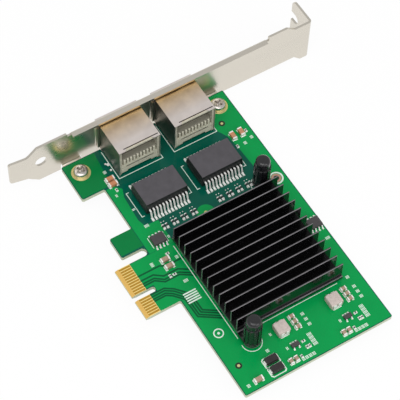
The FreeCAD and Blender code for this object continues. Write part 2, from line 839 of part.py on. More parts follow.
# ---- heatsink ----
def heatsink():
    """Extruded comb of fins on a base, with an ear for each push pin."""
    top = heatsink_floor + heatsink_height
    deck = heatsink_floor + heatsink_base
    comb = [(heatsink_left, heatsink_floor), (heatsink_right, heatsink_floor), (heatsink_right, deck)]
    for i in reversed(range(fin_count)):
        middle = heatsink_x + (i - (fin_count - 1) / 2) * fin_pitch
        comb += [(middle + fin_root / 2, deck), (middle + fin_tip / 2, top),
                 (middle - fin_tip / 2, top), (middle - fin_root / 2, deck)]
    comb.append((heatsink_left, deck))
    body = slab(square(comb), heatsink_start_y, heatsink_end_y, "y")
    for x, y, side in pin_places:
        lug = block(min(x, x - side * pin_beyond_heatsink), max(x, x - side * pin_beyond_heatsink),
                    y - ear_radius, y + ear_radius, heatsink_floor, deck)
        body = body.fuse(lug.fuse(rod(x, y, ear_radius, heatsink_floor, deck)))
    for x, y, _ in pin_places:
        radius = pin_shank_radius + pin_hole_clearance
        body = body.cut(rod(x, y, radius, heatsink_floor - overcut, deck + overcut))
    return body.removeSplitter()


def controller_chip():
    half = controller_size / 2
    cut = controller_corner_cut
    corners = square([(heatsink_x - half + cut, heatsink_y - half), (heatsink_x + half, heatsink_y - half),
                      (heatsink_x + half, heatsink_y + half), (heatsink_x - half, heatsink_y + half),
                      (heatsink_x - half, heatsink_y - half + cut)])
    return slab(corners, 0, controller_height)


def thermal_pad():
    half = thermal_pad_size / 2
    return block(heatsink_x - half, heatsink_x + half, heatsink_y - half, heatsink_y + half,
                 controller_height, heatsink_floor)


def push_pin(x, y):
    """Push pin: rounded head, fluted skirt, shank and split barb below the board."""
    seat = heatsink_floor + heatsink_base
    shoulder = seat + pin_skirt_height
    grip = solder_side - pin_barb_grip
    tip = solder_side - pin_barb_below
    lower = turned([(0, tip), (pin_tip_radius, tip), (pin_barb_radius, grip), (pin_shank_radius, grip),
                    (pin_shank_radius, seat)])
    split = block(-pin_split_width / 2, pin_split_width / 2, -2 * pin_barb_radius, 2 * pin_barb_radius,
                  tip - overcut, solder_side)
    upper = turned([(0, shoulder), (pin_head_radius, shoulder), (pin_head_radius, seat + pin_head_height)],
                   pin_rounding, 3)
    pin = lower.cut(split).fuse(fluted_skirt(seat, shoulder)).fuse(upper).removeSplitter()
    pin.translate(Vector(x, y, 0))
    return pin


def fluted_skirt(low, high):
    """Ribbed barrel between the heatsink's ear and the head of a pin."""
    floor = pin_skirt_radius - flute_depth
    half = flute_width / 2 / pin_skirt_radius
    corners = []
    for i in range(flute_count):
        turn = 2 * math.pi * i / flute_count
        crest = turn + math.pi / flute_count
        for radius, angle in ((pin_skirt_radius, turn - half), (floor, turn - half), (floor, turn + half),
                              (pin_skirt_radius, turn + half), (pin_skirt_radius, crest)):
            corners.append((radius * math.cos(angle), radius * math.sin(angle)))
    return slab(square(corners), low, high)


# ---- small-outline chips ----
def outline_chip(x, y):
    """Body and leads of an eight-lead chip, its leads along X."""
    body = drafted(x, y, outline_chip_width, outline_chip_length, outline_chip_lift,
                   outline_chip_height / 2, outline_chip_height, outline_chip_draft)
    leads = lead_rows(x, y, outline_chip_width / 2, outline_chip_height / 2,
                      outline_chip_leads_per_side, outline_chip_lead_pitch, outline_chip_lead_reach,
                      outline_chip_lead_width, outline_chip_lead_thickness,
                      outline_chip_foot)
    return body, Part.makeCompound(leads)


# ---- voltage converters ----
def inductor(y):
    """Moulded block with a slotted terminal wrapped round each end."""
    rim = inductor_height - inductor_edge
    body = drafted(inductor_x, y, inductor_length - 2 * terminal_thickness, inductor_width, inductor_lift,
                   rim, inductor_height, inductor_draft)
    half = terminal_width / 2
    terminals = []
    for side in (-1, 1):
        outer = inductor_x + side * inductor_length / 2
        inner = outer - side * terminal_thickness
        foot_end = outer - side * terminal_wrap
        plate = block(min(outer, inner), max(outer, inner), y - half, y + half, 0, rim)
        slot = block(min(outer, inner) - overcut, max(outer, inner) + overcut,
                     y - terminal_slot_width / 2, y + terminal_slot_width / 2, terminal_wrap, inductor_height)
        foot = block(min(outer, foot_end), max(outer, foot_end), y - half, y + half, 0, inductor_lift)
        terminals.append(plate.cut(slot).fuse(foot).removeSplitter())
    return body, terminals


def regulator(y):
    """Five-lead converter chip: three leads towards the inductor and two away."""
    half = regulator_width / 2
    exit_z = regulator_height / 2
    body = drafted(regulator_x, y, regulator_width, regulator_length, regulator_lift, exit_z,
                   regulator_height, regulator_draft)
    leads = []
    for offset in (-1, 0, 1):
        lead = gull_wing(regulator_x, y - offset * regulator_lead_pitch, half, exit_z, regulator_lead_reach,
                         regulator_lead_width, regulator_lead_thickness, regulator_foot)
        leads.append(half_turn(lead, regulator_x, y))
        if offset:
            leads.append(lead)
    return body, leads


def diode(x, y):
    """Moulded diode with a flat terminal folded under each end."""
    middle = diode_height / 2
    body = drafted(x, y, diode_width, diode_length, terminal_foil, middle, diode_height, diode_draft)
    half = terminal_foil / 2
    terminals = []
    for side in (-1, 1):
        end = y + side * diode_length / 2
        knee = end + side * (diode_terminal_reach - half)
        path = [(end, middle), (knee, middle), (knee, half), (end - side * diode_foot, half)]
        terminals.append(slab(strip(path, terminal_foil), x - diode_terminal_width / 2,
                              x + diode_terminal_width / 2, "x"))
    return body, terminals


# ---- chip parts in their places ----
def large_capacitor_places():
    """Places of the 1206 parts, as (x, y, long axis)."""
    high_row = jack_ys[1] + transformer_length / 2 + upper_pair_gap
    places = [(far_column_x + corner_part_offset, low_row_y + corner_part_rise, "y")]
    for i in range(2):
        places += [(jack_rear + input_pair_offset + i * input_pair_spacing, low_row_y, "y"),
                   (memory_x + supply_pair_offset + i * supply_pair_spacing, low_row_y, "y"),
                   (transformer_x + upper_pair_offset, high_row + i * upper_pair_spacing, "x")]
    return places


def medium_capacitor_places():
    """Places of the 0805 parts: three above each inductor and two at the far end."""
    places = []
    for y in inductor_ys:
        trio_y = y + inductor_width / 2 + trio_gap
        places += [(inductor_x + trio_offset + (i - 1) * trio_spacing, trio_y, "y") for i in range(3)]
        places += [(far_column_x, y + column_offset + i * column_spacing, "x") for i in range(2)]
    return places


def resistor_places():
    """Pairs of 0603 parts between the transformers and the heatsink."""
    places = []
    for y in jack_ys:
        for i in range(pairs_per_transformer):
            for side in (-1, 1):
                places.append((resistor_x, y + pair_offset + i * pair_pitch + side * pair_spacing / 2, "x"))
    return places


def small_part_places():
    """Places of the 0402 parts, beside the parts that they serve."""
    supply_x = memory_x + supply_pair_offset + supply_pair_spacing + supply_small_gap
    high_row = jack_ys[1] + transformer_length / 2 + transformer_small_gap
    places = [(jack_rear + input_pair_offset + input_pair_spacing + input_small_gap, low_row_y, "x"),
              (transformer_x - transformer_small_offset, high_row, "x"),
              (transformer_x + upper_pair_offset, board_top - upper_small_inset, "x"),
              (memory_x + outline_chip_width / 2 + memory_small_gap, memory_y, "y"),
              (supply_x, low_row_y, "y"),
              (supply_x, low_row_y - supply_small_spacing, "x")]
    for y in inductor_ys:
        beside = y + regulator_y_offset + regulator_length / 2 + small_part_gap
        side_x = regulator_x + regulator_width / 2 + small_part_gap
        last_y = y + column_offset + 2 * column_spacing
        places += [(regulator_x, beside, "y"), (side_x, beside, "x"),
                   (side_x, beside + small_part_spacing, "x"), (far_column_x, last_y, "x")]
    return places


def chip_group(places, size):
    """Bodies and end caps of all parts of one size."""
    bodies = []
    ends = []
    for x, y, along in places:
        body, caps = chip(x, y, size, along)
        bodies.append(body)
        ends += caps
    return Part.makeCompound(bodies), Part.makeCompound(ends)


def build():
    """Every node of the card with its shape."""
    nodes = {
        "circuit_board": circuit_board(),
        "edge_contacts": edge_contacts(),
        "ring_pads": ring_pads(),
        "bracket": bracket(),
        "bracket_screws": bracket_screws(),
        "heatsink": heatsink(),
        "controller_chip": controller_chip(),
        "thermal_pad": thermal_pad(),
        "push_pins": Part.makeCompound([push_pin(x, y) for x, y, _ in pin_places]),
    }
    for number, y in enumerate(jack_ys, 1):
        nodes[f"jack_shield_{number}"] = jack_shield(y)
        nodes[f"jack_housing_{number}"] = jack_housing(y)
        nodes[f"jack_carrier_{number}"] = jack_carrier(y)
        nodes[f"jack_springs_{number}"] = jack_springs(y)
        nodes[f"jack_lights_{number}"] = jack_lights(y)
        nodes[f"transformer_body_{number}"] = transformer_body(y)
        nodes[f"transformer_leads_{number}"] = transformer_leads(y)
    for name, x, y in (("memory", memory_x, memory_y), ("edge", edge_chip_x, edge_chip_y)):
        body, leads = outline_chip(x, y)
        nodes[f"{name}_chip_body"] = body
        nodes[f"{name}_chip_leads"] = leads
    for number, y in enumerate(inductor_ys, 1):
        body, terminals = inductor(y)
        nodes[f"inductor_body_{number}"] = body
        nodes[f"inductor_terminals_{number}"] = Part.makeCompound(terminals)
        body, leads = regulator(y + regulator_y_offset)
        nodes[f"regulator_body_{number}"] = body
        nodes[f"regulator_leads_{number}"] = Part.makeCompound(leads)
    diode_y = inductor_ys[0] - inductor_width / 2 - diode_to_inductor - diode_length / 2
    for number in (1, 2):
        x = regulator_x + diode_to_regulator + (number - 1) * (diode_width + diode_gap)
        body, terminals = diode(x, diode_y)
        nodes[f"diode_body_{number}"] = body
        nodes[f"diode_terminals_{number}"] = Part.makeCompound(terminals)
    groups = (("large_capacitor", large_capacitor_places(), size_1206),
              ("medium_capacitor", medium_capacitor_places(), size_0805),
              ("resistor", resistor_places(), size_0603), ("small_part", small_part_places(), size_0402))
    for name, places, size in groups:
        nodes[f"{name}_bodies"], nodes[f"{name}_ends"] = chip_group(places, size)
    return nodes


os.makedirs("parts", exist_ok=True)
for name, shape in build().items():
    shape.exportStep(f"parts/{name}.step")
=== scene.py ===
import math
import bmesh
import bpy
from mathutils import Matrix, Vector


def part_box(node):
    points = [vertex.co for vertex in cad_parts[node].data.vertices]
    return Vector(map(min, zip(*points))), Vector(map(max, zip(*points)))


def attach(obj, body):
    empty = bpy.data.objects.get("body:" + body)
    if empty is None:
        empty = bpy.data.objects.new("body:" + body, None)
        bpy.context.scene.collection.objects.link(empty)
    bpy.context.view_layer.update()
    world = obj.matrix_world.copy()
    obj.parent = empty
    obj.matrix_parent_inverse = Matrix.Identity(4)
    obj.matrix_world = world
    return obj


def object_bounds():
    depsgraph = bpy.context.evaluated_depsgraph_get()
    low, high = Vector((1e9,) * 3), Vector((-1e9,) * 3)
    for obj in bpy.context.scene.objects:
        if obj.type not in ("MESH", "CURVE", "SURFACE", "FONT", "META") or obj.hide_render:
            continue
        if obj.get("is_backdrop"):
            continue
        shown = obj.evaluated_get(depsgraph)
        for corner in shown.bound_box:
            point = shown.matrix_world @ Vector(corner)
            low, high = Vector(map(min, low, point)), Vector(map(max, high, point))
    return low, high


bl_info = {
    "name": "Network Card",
    "version": (1, 0, 0),
    "blender": (4, 5, 0),
    "location": "View3D > Sidebar > Network Card",
    "description": "Dresses a dual-port network card with its finishes, printed lines and solder",
    "category": "Object",
}

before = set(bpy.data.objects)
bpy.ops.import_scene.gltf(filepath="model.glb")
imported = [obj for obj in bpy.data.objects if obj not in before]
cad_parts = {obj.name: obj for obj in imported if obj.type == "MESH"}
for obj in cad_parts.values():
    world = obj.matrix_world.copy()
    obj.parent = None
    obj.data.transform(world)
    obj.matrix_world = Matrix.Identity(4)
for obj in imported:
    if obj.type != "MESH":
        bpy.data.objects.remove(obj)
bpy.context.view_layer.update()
MM = 0.001

# Bands on a jack's shield, in millimetres from its front, its rear and its two sides; the fold bands get
# painted shade.
TINT_START = 1.6
TINT_FULL = 4.0
TINT_GONE = 13.0
FOLD_FROM_REAR = 1.25
FOLD_TO_REAR = 0.9
FOLD_FROM_SIDE = 2.2
FOLD_TO_SIDE = 0.5

# Bands of painted shade on a jack's insert: depths behind its face, heights above the board, distances from
# its sides.
RIB_BOTTOM = 0.55
RIB_FACE = 0.1
GROOVE_TOP = 3.9
GROOVE_HEIGHT = 0.7
GROOVE_FROM_SIDE = 1.8
GROOVE_TO_SIDE = 1.4
RECESS_SHADE_PALE_BELOW = 7.2
RECESS_SHADE_BROWN_ABOVE = 8.6

# Painted highlights on the heatsink: the ledge beyond the last fin, and the bottom of the fins' ends.
LEDGE_START = 0.4
LEDGE_END = 0.9
FIN_END_BOTTOM = 1.5

# Places on the board: the plated hole, the round mark, and the gold spot beside the fins.
HOLE = (-16.0, 65.3)
ROUND_MARK = (24.6, 17.2)
SPOT_OFFSET = 4.6
SPOT_Y = 37.6

# Printed ticks: distance between two, and half of a tick's length and width.
TICK_PITCH = 0.42
TICK_HALF_LENGTH = 0.55
TICK_HALF_WIDTH = 0.12

# Solder: how far it spreads from a lead, an end cap and a resistor's end, and the pairs of spots.
LEAD_SPREAD = 0.14
CAP_SPREAD = 0.22
RESISTOR_SPREAD = 0.05
RESISTOR_PAD = 0.45
PAIR_OFFSET = 4.86
PAIR_PITCH = 3.72


def shade(red, green, blue):
    """Linear colour from display values of 0 to 255."""
    shares = (value / 255 for value in (red, green, blue))
    return tuple(share / 12.92 if share <= 0.04045 else ((share + 0.055) / 1.055) ** 2.4 for share in shares)


def limits(node):
    """Lowest and highest corner of a CAD node, in millimetres."""
    low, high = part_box(node)
    return low / MM, high / MM


def fin_field():
    """Corners of the heatsink's fins, without its ears, in millimetres."""
    top = limits("heatsink")[1].z
    tips = [vert.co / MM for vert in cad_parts["heatsink"].data.vertices if vert.co.z / MM > top - 0.01]
    xs = [tip.x for tip in tips]
    ys = [tip.y for tip in tips]
    return Vector((min(xs), min(ys))), Vector((max(xs), max(ys)))


def fin_edges():
    """Both edges of each fin's tip along X, in order, in millimetres."""
    top = limits("heatsink")[1].z
    places = {round(vert.co.x / MM, 2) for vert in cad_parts["heatsink"].data.vertices
              if vert.co.z / MM > top - 0.01}
    return sorted(places)


# ---- settings ----
def tone(name, description, default):
    """Colour setting."""
    return bpy.props.FloatVectorProperty(
        name=name, description=description, default=default, size=3, min=0.0, max=1.0, subtype="COLOR")


def share(name, description, default):
    """Setting that runs from none to full."""
    return bpy.props.FloatProperty(
        name=name, description=description, default=default, min=0.0, max=1.0, subtype="FACTOR")


def millimetres(name, description, default):
    """Length setting, kept in metres and given in millimetres."""
    return bpy.props.FloatProperty(
        name=name, description=description, default=default * MM, min=0.0, precision=5,
        subtype="DISTANCE", unit="LENGTH")


class BoardSettings(bpy.types.PropertyGroup):
    """Colours and thicknesses of the board's surface."""

    mask: tone("Mask", "Solder mask over bare laminate", shade(0, 92, 74))
    mask_over_copper: tone("Mask Over Copper", "Solder mask over a copper pour", shade(0, 158, 78))
    mask_on_lugs: tone("Mask On Lugs", "Solder mask over the pour of the mounting corners",
                       shade(0, 128, 64))
    between_contacts: tone("Between Contacts", "Bare laminate between the contacts", shade(246, 222, 142))
    bevel: tone("Bevel", "Bare slope at the edge of the contacts", shade(222, 180, 98))
    laminate: tone("Laminate", "Cut edge of the laminate", shade(206, 212, 188))
    print_colour: tone("Print", "Printed lines and marks", shade(232, 248, 236))
    gloss: share("Mask Roughness", "Roughness of the solder mask", 0.16)
    pour_height: millimetres("Pour Height", "How far a pour stands out under the mask", 0.02)
    track_height: millimetres("Track Height", "How far a track stands out under the mask", 0.03)
    print_height: millimetres("Print Height", "Height of the printed lines", 0.045)
    print_width: millimetres("Print Width", "Width of the printed lines", 0.26)
    solder_height: millimetres("Solder Height", "Height of the solder on a pad", 0.12)


class MetalSettings(bpy.types.PropertyGroup):
    """Colours of the plated, tinned and steel parts."""

    bracket: tone("Bracket", "Nickel-plated steel", shade(222, 216, 204))
    shield: tone("Shield", "Plated sheet of the jacks", shade(242, 232, 226))
    screw: tone("Screw", "Plated screws", shade(214, 208, 202))
    gold: tone("Gold", "Gold plate", shade(222, 172, 74))
    pad_gold: tone("Pad Gold", "Thin plating of the ring pads and spots", shade(226, 212, 150))
    tin: tone("Tin", "Tinned leads and solder", shade(250, 250, 246))


class PlasticSettings(bpy.types.PropertyGroup):
    """Colours of the moulded and fired parts."""

    # Magnetics is the lit top of the transformer bodies and Mould Sides their shaded sides: painted light
    # and painted shade.
    magnetics: tone("Magnetics", "Moulded transformer bodies", shade(82, 79, 84))
    chips: tone("Chips", "Moulded chip bodies", shade(70, 66, 68))
    diodes: tone("Diodes", "Moulded diode bodies", shade(40, 34, 35))
    shaded_mould_sides: tone("Mould Sides", "Sides of the transformer bodies", shade(26, 25, 27))
    inductors: tone("Inductors", "Pressed inductor bodies", shade(212, 198, 190))
    housing: tone("Housing", "Plastic of the jacks", shade(30, 30, 31))
    carrier: tone("Carrier", "Insert behind the jacks", shade(214, 210, 190))
    lens: tone("Lens", "Light windows", shade(190, 200, 170))
    pins: tone("Pins", "Push pins", shade(26, 26, 29))
    ceramic: tone("Ceramic", "Capacitor bodies", shade(176, 150, 128))
    ceramic_tan: tone("Tan Ceramic", "Capacitors beside the first jack", shade(214, 140, 96))
    resistors: tone("Resistors", "Resistor bodies", shade(36, 44, 44))
    pad: tone("Thermal Pad", "Pad under the heatsink", shade(150, 152, 156))


class HeatsinkSettings(bpy.types.PropertyGroup):
    """Colours of the heatsink."""

    anodised: tone("Anodised", "Black anodised faces", shade(10, 10, 12))
    # Colour of the painted highlights along the fins' edges.
    cut: tone("Cut Edges", "Edges of the fins, where the light catches", shade(132, 128, 132))
    tip_width: millimetres("Tip Width", "Width of the light line along a fin", 0.28)
    tip_depth: millimetres("Tip Depth", "How far the light edge reaches down a fin", 0.06)


class StageSettings(bpy.types.PropertyGroup):
    """Floor, lamps and camera."""

    floor: tone("Floor", "Pale floor", shade(250, 250, 250))
    floor_drop: millimetres("Floor Drop", "Gap between the card and the floor", 0.2)
    sky: bpy.props.FloatProperty(name="Sky", description="Strength of the even light", default=0.62, min=0.0)
    overhead: bpy.props.FloatProperty(
        name="Overhead", description="Power of the lamp above", default=3.2, min=0.0,
        subtype="POWER", unit="POWER")
    side: bpy.props.FloatProperty(
        name="Side", description="Power of the lamp beside the camera", default=1.6, min=0.0,
        subtype="POWER", unit="POWER")
    bearing: bpy.props.FloatProperty(
        name="Bearing", description="Direction of the camera round the card", default=math.radians(-56.419),
        subtype="ANGLE", unit="ROTATION")
    height: bpy.props.FloatProperty(
        name="Height", description="Angle of the camera above the board", default=math.radians(57.575),
        subtype="ANGLE", unit="ROTATION")
    roll: bpy.props.FloatProperty(
        name="Roll", description="Roll of the camera", default=math.radians(2.611), subtype="ANGLE",
        unit="ROTATION")
    distance: bpy.props.FloatProperty(
        name="Distance", description="Distance of the camera", default=0.579138, min=0.0, subtype="DISTANCE",
        unit="LENGTH")
    lens: bpy.props.FloatProperty(
        name="Lens", description="Focal length", default=155.177, min=1.0, subtype="DISTANCE_CAMERA",
        unit="CAMERA")
    target: bpy.props.FloatVectorProperty(
        name="Target", description="Point in the middle of the view", default=(-0.0216, 0.038396, 0.0),
        size=3, subtype="TRANSLATION", unit="LENGTH")


# ---- finishes ----
class Finish:
    """Node material that is laid out step by step."""

    def __init__(self, name):
        self.material = bpy.data.materials.new(name)
        self.material.use_nodes = True
        self.nodes = self.material.node_tree.nodes
        self.links = self.material.node_tree.links
        self.shader = self.nodes["Principled BSDF"]
        self.place = self.nodes.new("ShaderNodeTexCoord").outputs["Object"]
        self.facing = self.nodes.new("ShaderNodeNewGeometry").outputs["Normal"]

    def noise(self, size, detail=4.0, stretch=(1, 1, 1)):
        """Noise whose features are about a size in millimetres."""
        mapping = self.nodes.new("ShaderNodeMapping")
        mapping.inputs["Scale"].default_value = stretch
        self.links.new(self.place, mapping.inputs["Vector"])
        noise = self.nodes.new("ShaderNodeTexNoise")
        noise.inputs["Scale"].default_value = 1 / (size * MM)
        noise.inputs["Detail"].default_value = detail
        self.links.new(mapping.outputs["Vector"], noise.inputs["Vector"])
        return noise.outputs["Fac"]

    def spread(self, value, low, high, low_to=0.0, high_to=1.0):
        """Value taken from one range to another, kept within it."""
        node = self.nodes.new("ShaderNodeMapRange")
        for name, number in (("From Min", low), ("From Max", high), ("To Min", low_to), ("To Max", high_to)):
            node.inputs[name].default_value = number
        self.links.new(value, node.inputs["Value"])
        return node.outputs["Result"]

    def cloud(self, size):
        """Soft clouds about a size in millimetres, from none to full."""
        return self.spread(self.noise(size), 0.3, 0.7)

    def sums(self, operation, first, second):
        """Sum of two values, of which the second may be a number."""
        node = self.nodes.new("ShaderNodeMath")
        node.operation = operation
        self.links.new(first, node.inputs[0])
        if isinstance(second, (int, float)):
            node.inputs[1].default_value = second
        else:
            self.links.new(second, node.inputs[1])
        return node.outputs["Value"]

    def only(self, amount, operation, value, limit):
        """Amount where a value passes a comparison, and none elsewhere."""
        return self.sums("MULTIPLY", amount, self.sums(operation, value, limit))

    def part(self, vector, axis):
        """One component of a vector."""
        node = self.nodes.new("ShaderNodeSeparateXYZ")
        self.links.new(vector, node.inputs["Vector"])
        return node.outputs[axis]

    def blend(self, amount, first, second):
        """Colour between two colours."""
        node = self.nodes.new("ShaderNodeMix")
        node.data_type = "RGBA"
        self.links.new(amount, node.inputs["Factor"])
        for socket, colour in ((node.inputs[6], first), (node.inputs[7], second)):
            if hasattr(colour, "links") or hasattr(colour, "is_linked"):
                self.links.new(colour, socket)
            else:
                socket.default_value = (*colour, 1.0)
        return node.outputs[2]

    def colour(self, socket):
        self.links.new(socket, self.shader.inputs["Base Color"])

    def roughness(self, socket):
        self.links.new(socket, self.shader.inputs["Roughness"])

    def bump(self, socket, depth, strength=1.0):
        """Relief whose depth is in millimetres."""
        node = self.nodes.new("ShaderNodeBump")
        node.inputs["Distance"].default_value = depth * MM
        node.inputs["Strength"].default_value = strength
        self.links.new(socket, node.inputs["Height"])
        self.links.new(node.outputs["Normal"], self.shader.inputs["Normal"])

    def set(self, **values):
        """Constants on the shader's own sockets."""
        for name, value in values.items():
            self.shader.inputs[name.replace("_", " ")].default_value = value


def darker(colour, amount):
    """The same colour with less light."""
    return tuple(value * amount for value in colour)


def mottled(name, colour, contrast, size, rough, depth, metal=0.0, fine=0.15, stretch=(1, 1, 1)):
    """Finish with cloudy colour, uneven gloss and a fine grain."""
    finish = Finish(name)
    cloud = finish.noise(size, stretch=stretch)
    finish.colour(finish.blend(finish.spread(cloud, 0.3, 0.7), darker(colour, 1 - contrast), colour))
    finish.roughness(finish.spread(cloud, 0.3, 0.7, rough[0], rough[1]))
    finish.bump(finish.noise(fine, 2.0, stretch), depth)
    finish.set(Metallic=metal)
    return finish


def mask_finish(name, colour, settings):
    """Solder mask: glossy, a little cloudy, with the glass weave just showing."""
    finish = Finish(name)
    cloud = finish.cloud(9.0)
    weave = finish.spread(finish.noise(0.45, 2.0), 0.35, 0.65)
    body = finish.blend(cloud, darker(colour, 0.9), colour)
    finish.colour(finish.blend(finish.sums("MULTIPLY", weave, 0.18), body, darker(colour, 0.7)))
    finish.roughness(finish.spread(weave, 0, 1, settings.gloss, settings.gloss + 0.08))
    finish.bump(weave, 0.004)
    finish.set(Specular_IOR_Level=0.18)
    return finish


def board_finish(settings):
    """Solder mask on both faces and bare laminate on the cut edges."""
    finish = Finish("board_mask_and_edge")
    flat = finish.sums("ABSOLUTE", finish.part(finish.facing, "Z"), 0)
    side = finish.sums("LESS_THAN", flat, 0.5)
    cloud = finish.cloud(9.0)
    weave = finish.spread(finish.noise(0.45, 2.0), 0.35, 0.65)
    mask = finish.blend(cloud, darker(settings.mask, 0.86), settings.mask)
    layers = finish.spread(finish.noise(0.4, 3.0, (0.15, 0.15, 3)), 0.35, 0.65)
    edge = finish.blend(layers, darker(settings.laminate, 0.8), settings.laminate)
    contacts_low, contacts_high = limits("edge_contacts")
    tongue = finish.sums("LESS_THAN", finish.part(finish.place, "Y"), (contacts_high.y + 0.15) * MM)
    front = finish.sums("GREATER_THAN", finish.part(finish.place, "Y"), 0.04 * MM)
    bevel = finish.sums("LESS_THAN", finish.part(finish.place, "Y"), contacts_low.y * MM)
    beyond = finish.sums("LESS_THAN", finish.sums("ABSOLUTE", finish.part(finish.place, "X"), 0), 0.0125)
    face = finish.blend(finish.sums("MULTIPLY", tongue, beyond), mask, settings.between_contacts)
    leaning = finish.sums("GREATER_THAN", flat, 0.2)
    sloping = finish.sums("MULTIPLY", finish.sums("MULTIPLY", front, bevel), leaning)
    body = finish.blend(side, face, edge)
    finish.colour(finish.blend(sloping, body, settings.bevel))
    finish.roughness(finish.spread(side, 0, 1, settings.gloss, 0.75))
    finish.bump(weave, 0.004)
    finish.set(Specular_IOR_Level=0.18)
    return finish


def plated(name, colour, rough, size=2.5, contrast=0.1, depth=0.002, stretch=(1, 1, 1), metal=1.0):
    """Bright metal with faint clouds and hairlines."""
    return mottled(name, colour, contrast, size, rough, depth, metal, 0.12, stretch)


def shield_finish(colour):
    """Plated sheet, warmer towards its front, with painted shade and a painted board reflection on its
    sides, and painted shade along a fold at its rear.
    """
    finish = Finish("jack_shield_plating")
    low, high = limits("jack_shield_1")
    along = finish.part(finish.place, "X")
    warm = finish.spread(along, (low.x + TINT_FULL) * MM, (low.x + TINT_GONE) * MM, 1.0, 0.0)
    warm = finish.only(warm, "GREATER_THAN", along, (low.x + TINT_START) * MM)
    top = finish.sums("GREATER_THAN", finish.part(finish.facing, "Z"), 0.9)
    warm = finish.sums("MULTIPLY", warm, finish.spread(top, 0, 1, 0.25, 1.0))
    # Painted shade: a near-black line along the fold at the rear of each roof stands in for the shade in its
    # crease.
    fold_shade = finish.only(top, "GREATER_THAN", along, (high.x - FOLD_FROM_REAR) * MM)
    fold_shade = finish.only(fold_shade, "LESS_THAN", along, (high.x - FOLD_TO_REAR) * MM)
    across = finish.sums("SUBTRACT", finish.part(finish.place, "Y"), low.y * MM)
    across = finish.sums("FLOORED_MODULO", across, (limits("jack_shield_2")[0].y - low.y) * MM)
    fold_shade = finish.only(fold_shade, "GREATER_THAN", across, FOLD_FROM_SIDE * MM)
    width = high.y - low.y
    fold_shade = finish.only(fold_shade, "LESS_THAN", across, (width - FOLD_TO_SIDE) * MM)
    cloud = finish.cloud(3.0)
    plain = finish.blend(cloud, darker(colour, 0.93), colour)
    tinted = finish.blend(cloud, shade(184, 148, 88), shade(212, 178, 118))
    sheet = finish.blend(finish.sums("MULTIPLY", warm, 0.9), plain, tinted)
    # Painted shade and reflection: faces turned to the sides turn dark green, standing in for shade and the
    # board mirrored in them.
    side = finish.sums("ABSOLUTE", finish.part(finish.facing, "Y"), 0.0)
    sheet = finish.blend(finish.spread(side, 0.7, 0.95, 0.0, 0.7), sheet, shade(56, 66, 56))
    finish.colour(finish.blend(fold_shade, sheet, shade(24, 20, 18)))
    finish.roughness(finish.spread(cloud, 0, 1, 0.3, 0.42))
    finish.bump(finish.noise(0.25, 3.0), 0.002)
    finish.set(Metallic=1.0)
    return finish


def housing_finish(settings):
    """Jack plastic, black at the socket and pale behind its rear wall."""
    finish = Finish("jack_plastic")
    rear = limits("jack_carrier_1")[0].x
    behind = finish.sums("GREATER_THAN", finish.part(finish.place, "X"), rear * MM)
    cloud = finish.cloud(2.0)
    black = finish.blend(cloud, darker(settings.housing, 0.8), settings.housing)
    pale = finish.blend(cloud, darker(settings.carrier, 0.7), darker(settings.carrier, 0.85))
    finish.colour(finish.blend(behind, black, pale))
    finish.roughness(finish.spread(cloud, 0, 1, 0.45, 0.6))
    finish.bump(finish.noise(0.15, 2.0), 0.006)
    return finish


def carrier_finish(settings):
    """Pale insert, with painted shade between its ribs, browner painted shade in the pocket above them, and
    the darkest painted shade along its groove.
    """
    finish = Finish("insert_plastic")
    low, high = limits("jack_carrier_1")
    # Painted shade: the insert grows darker deeper behind its face, between its ribs.
    depth = finish.spread(
        finish.part(finish.place, "X"), (high.x - RIB_BOTTOM) * MM, (high.x - RIB_FACE) * MM)
    cloud = finish.cloud(1.5)
    body = finish.blend(cloud, darker(settings.carrier, 0.88), settings.carrier)
    height = finish.part(finish.place, "Z")
    across = finish.sums("SUBTRACT", finish.part(finish.place, "Y"), low.y * MM)
    across = finish.sums("FLOORED_MODULO", across, (limits("jack_carrier_2")[0].y - low.y) * MM)
    # Painted shade: a near-black band stands in for the shade inside the groove across the insert.
    groove_shade = finish.sums("LESS_THAN", height, GROOVE_TOP * MM)
    groove_bottom = (GROOVE_TOP - GROOVE_HEIGHT) * MM
    groove_shade = finish.only(groove_shade, "GREATER_THAN", height, groove_bottom)
    groove_shade = finish.only(groove_shade, "GREATER_THAN", across, GROOVE_FROM_SIDE * MM)
    groove_end = (high.y - low.y - GROOVE_TO_SIDE) * MM
    groove_shade = finish.only(groove_shade, "LESS_THAN", across, groove_end)
    # Painted shade in the pocket above the ribs, mid grey low down and dark brown higher up.
    above = finish.spread(height, RECESS_SHADE_PALE_BELOW * MM, RECESS_SHADE_BROWN_ABOVE * MM)
    recess_shade = finish.blend(above, darker(settings.carrier, 0.5), shade(50, 41, 31))
    shaded_ribs = finish.blend(depth, recess_shade, body)
    finish.colour(finish.blend(groove_shade, shaded_ribs, darker(settings.carrier, 0.2)))
    finish.roughness(finish.spread(cloud, 0, 1, 0.4, 0.55))
    finish.bump(finish.noise(0.15, 2.0), 0.006)
    return finish


def resin_finish(lit_top_colour, shaded_side_colour):
    """Moulded resin with painted light on its paler top and painted shade on its darker sides."""
    finish = Finish("transformer_resin")
    # Painted light and shade: faces turned up take the lit colour, the others the shaded one.
    top = finish.spread(finish.part(finish.facing, "Z"), 0.6, 0.95)
    cloud = finish.cloud(2.2)
    body = finish.blend(top, shaded_side_colour, lit_top_colour)
    finish.colour(finish.blend(finish.sums("MULTIPLY", cloud, 0.2), body, darker(shaded_side_colour, 0.9)))
    finish.roughness(finish.spread(cloud, 0, 1, 0.42, 0.55))
    finish.bump(finish.noise(0.15, 2.0), 0.01)
    return finish


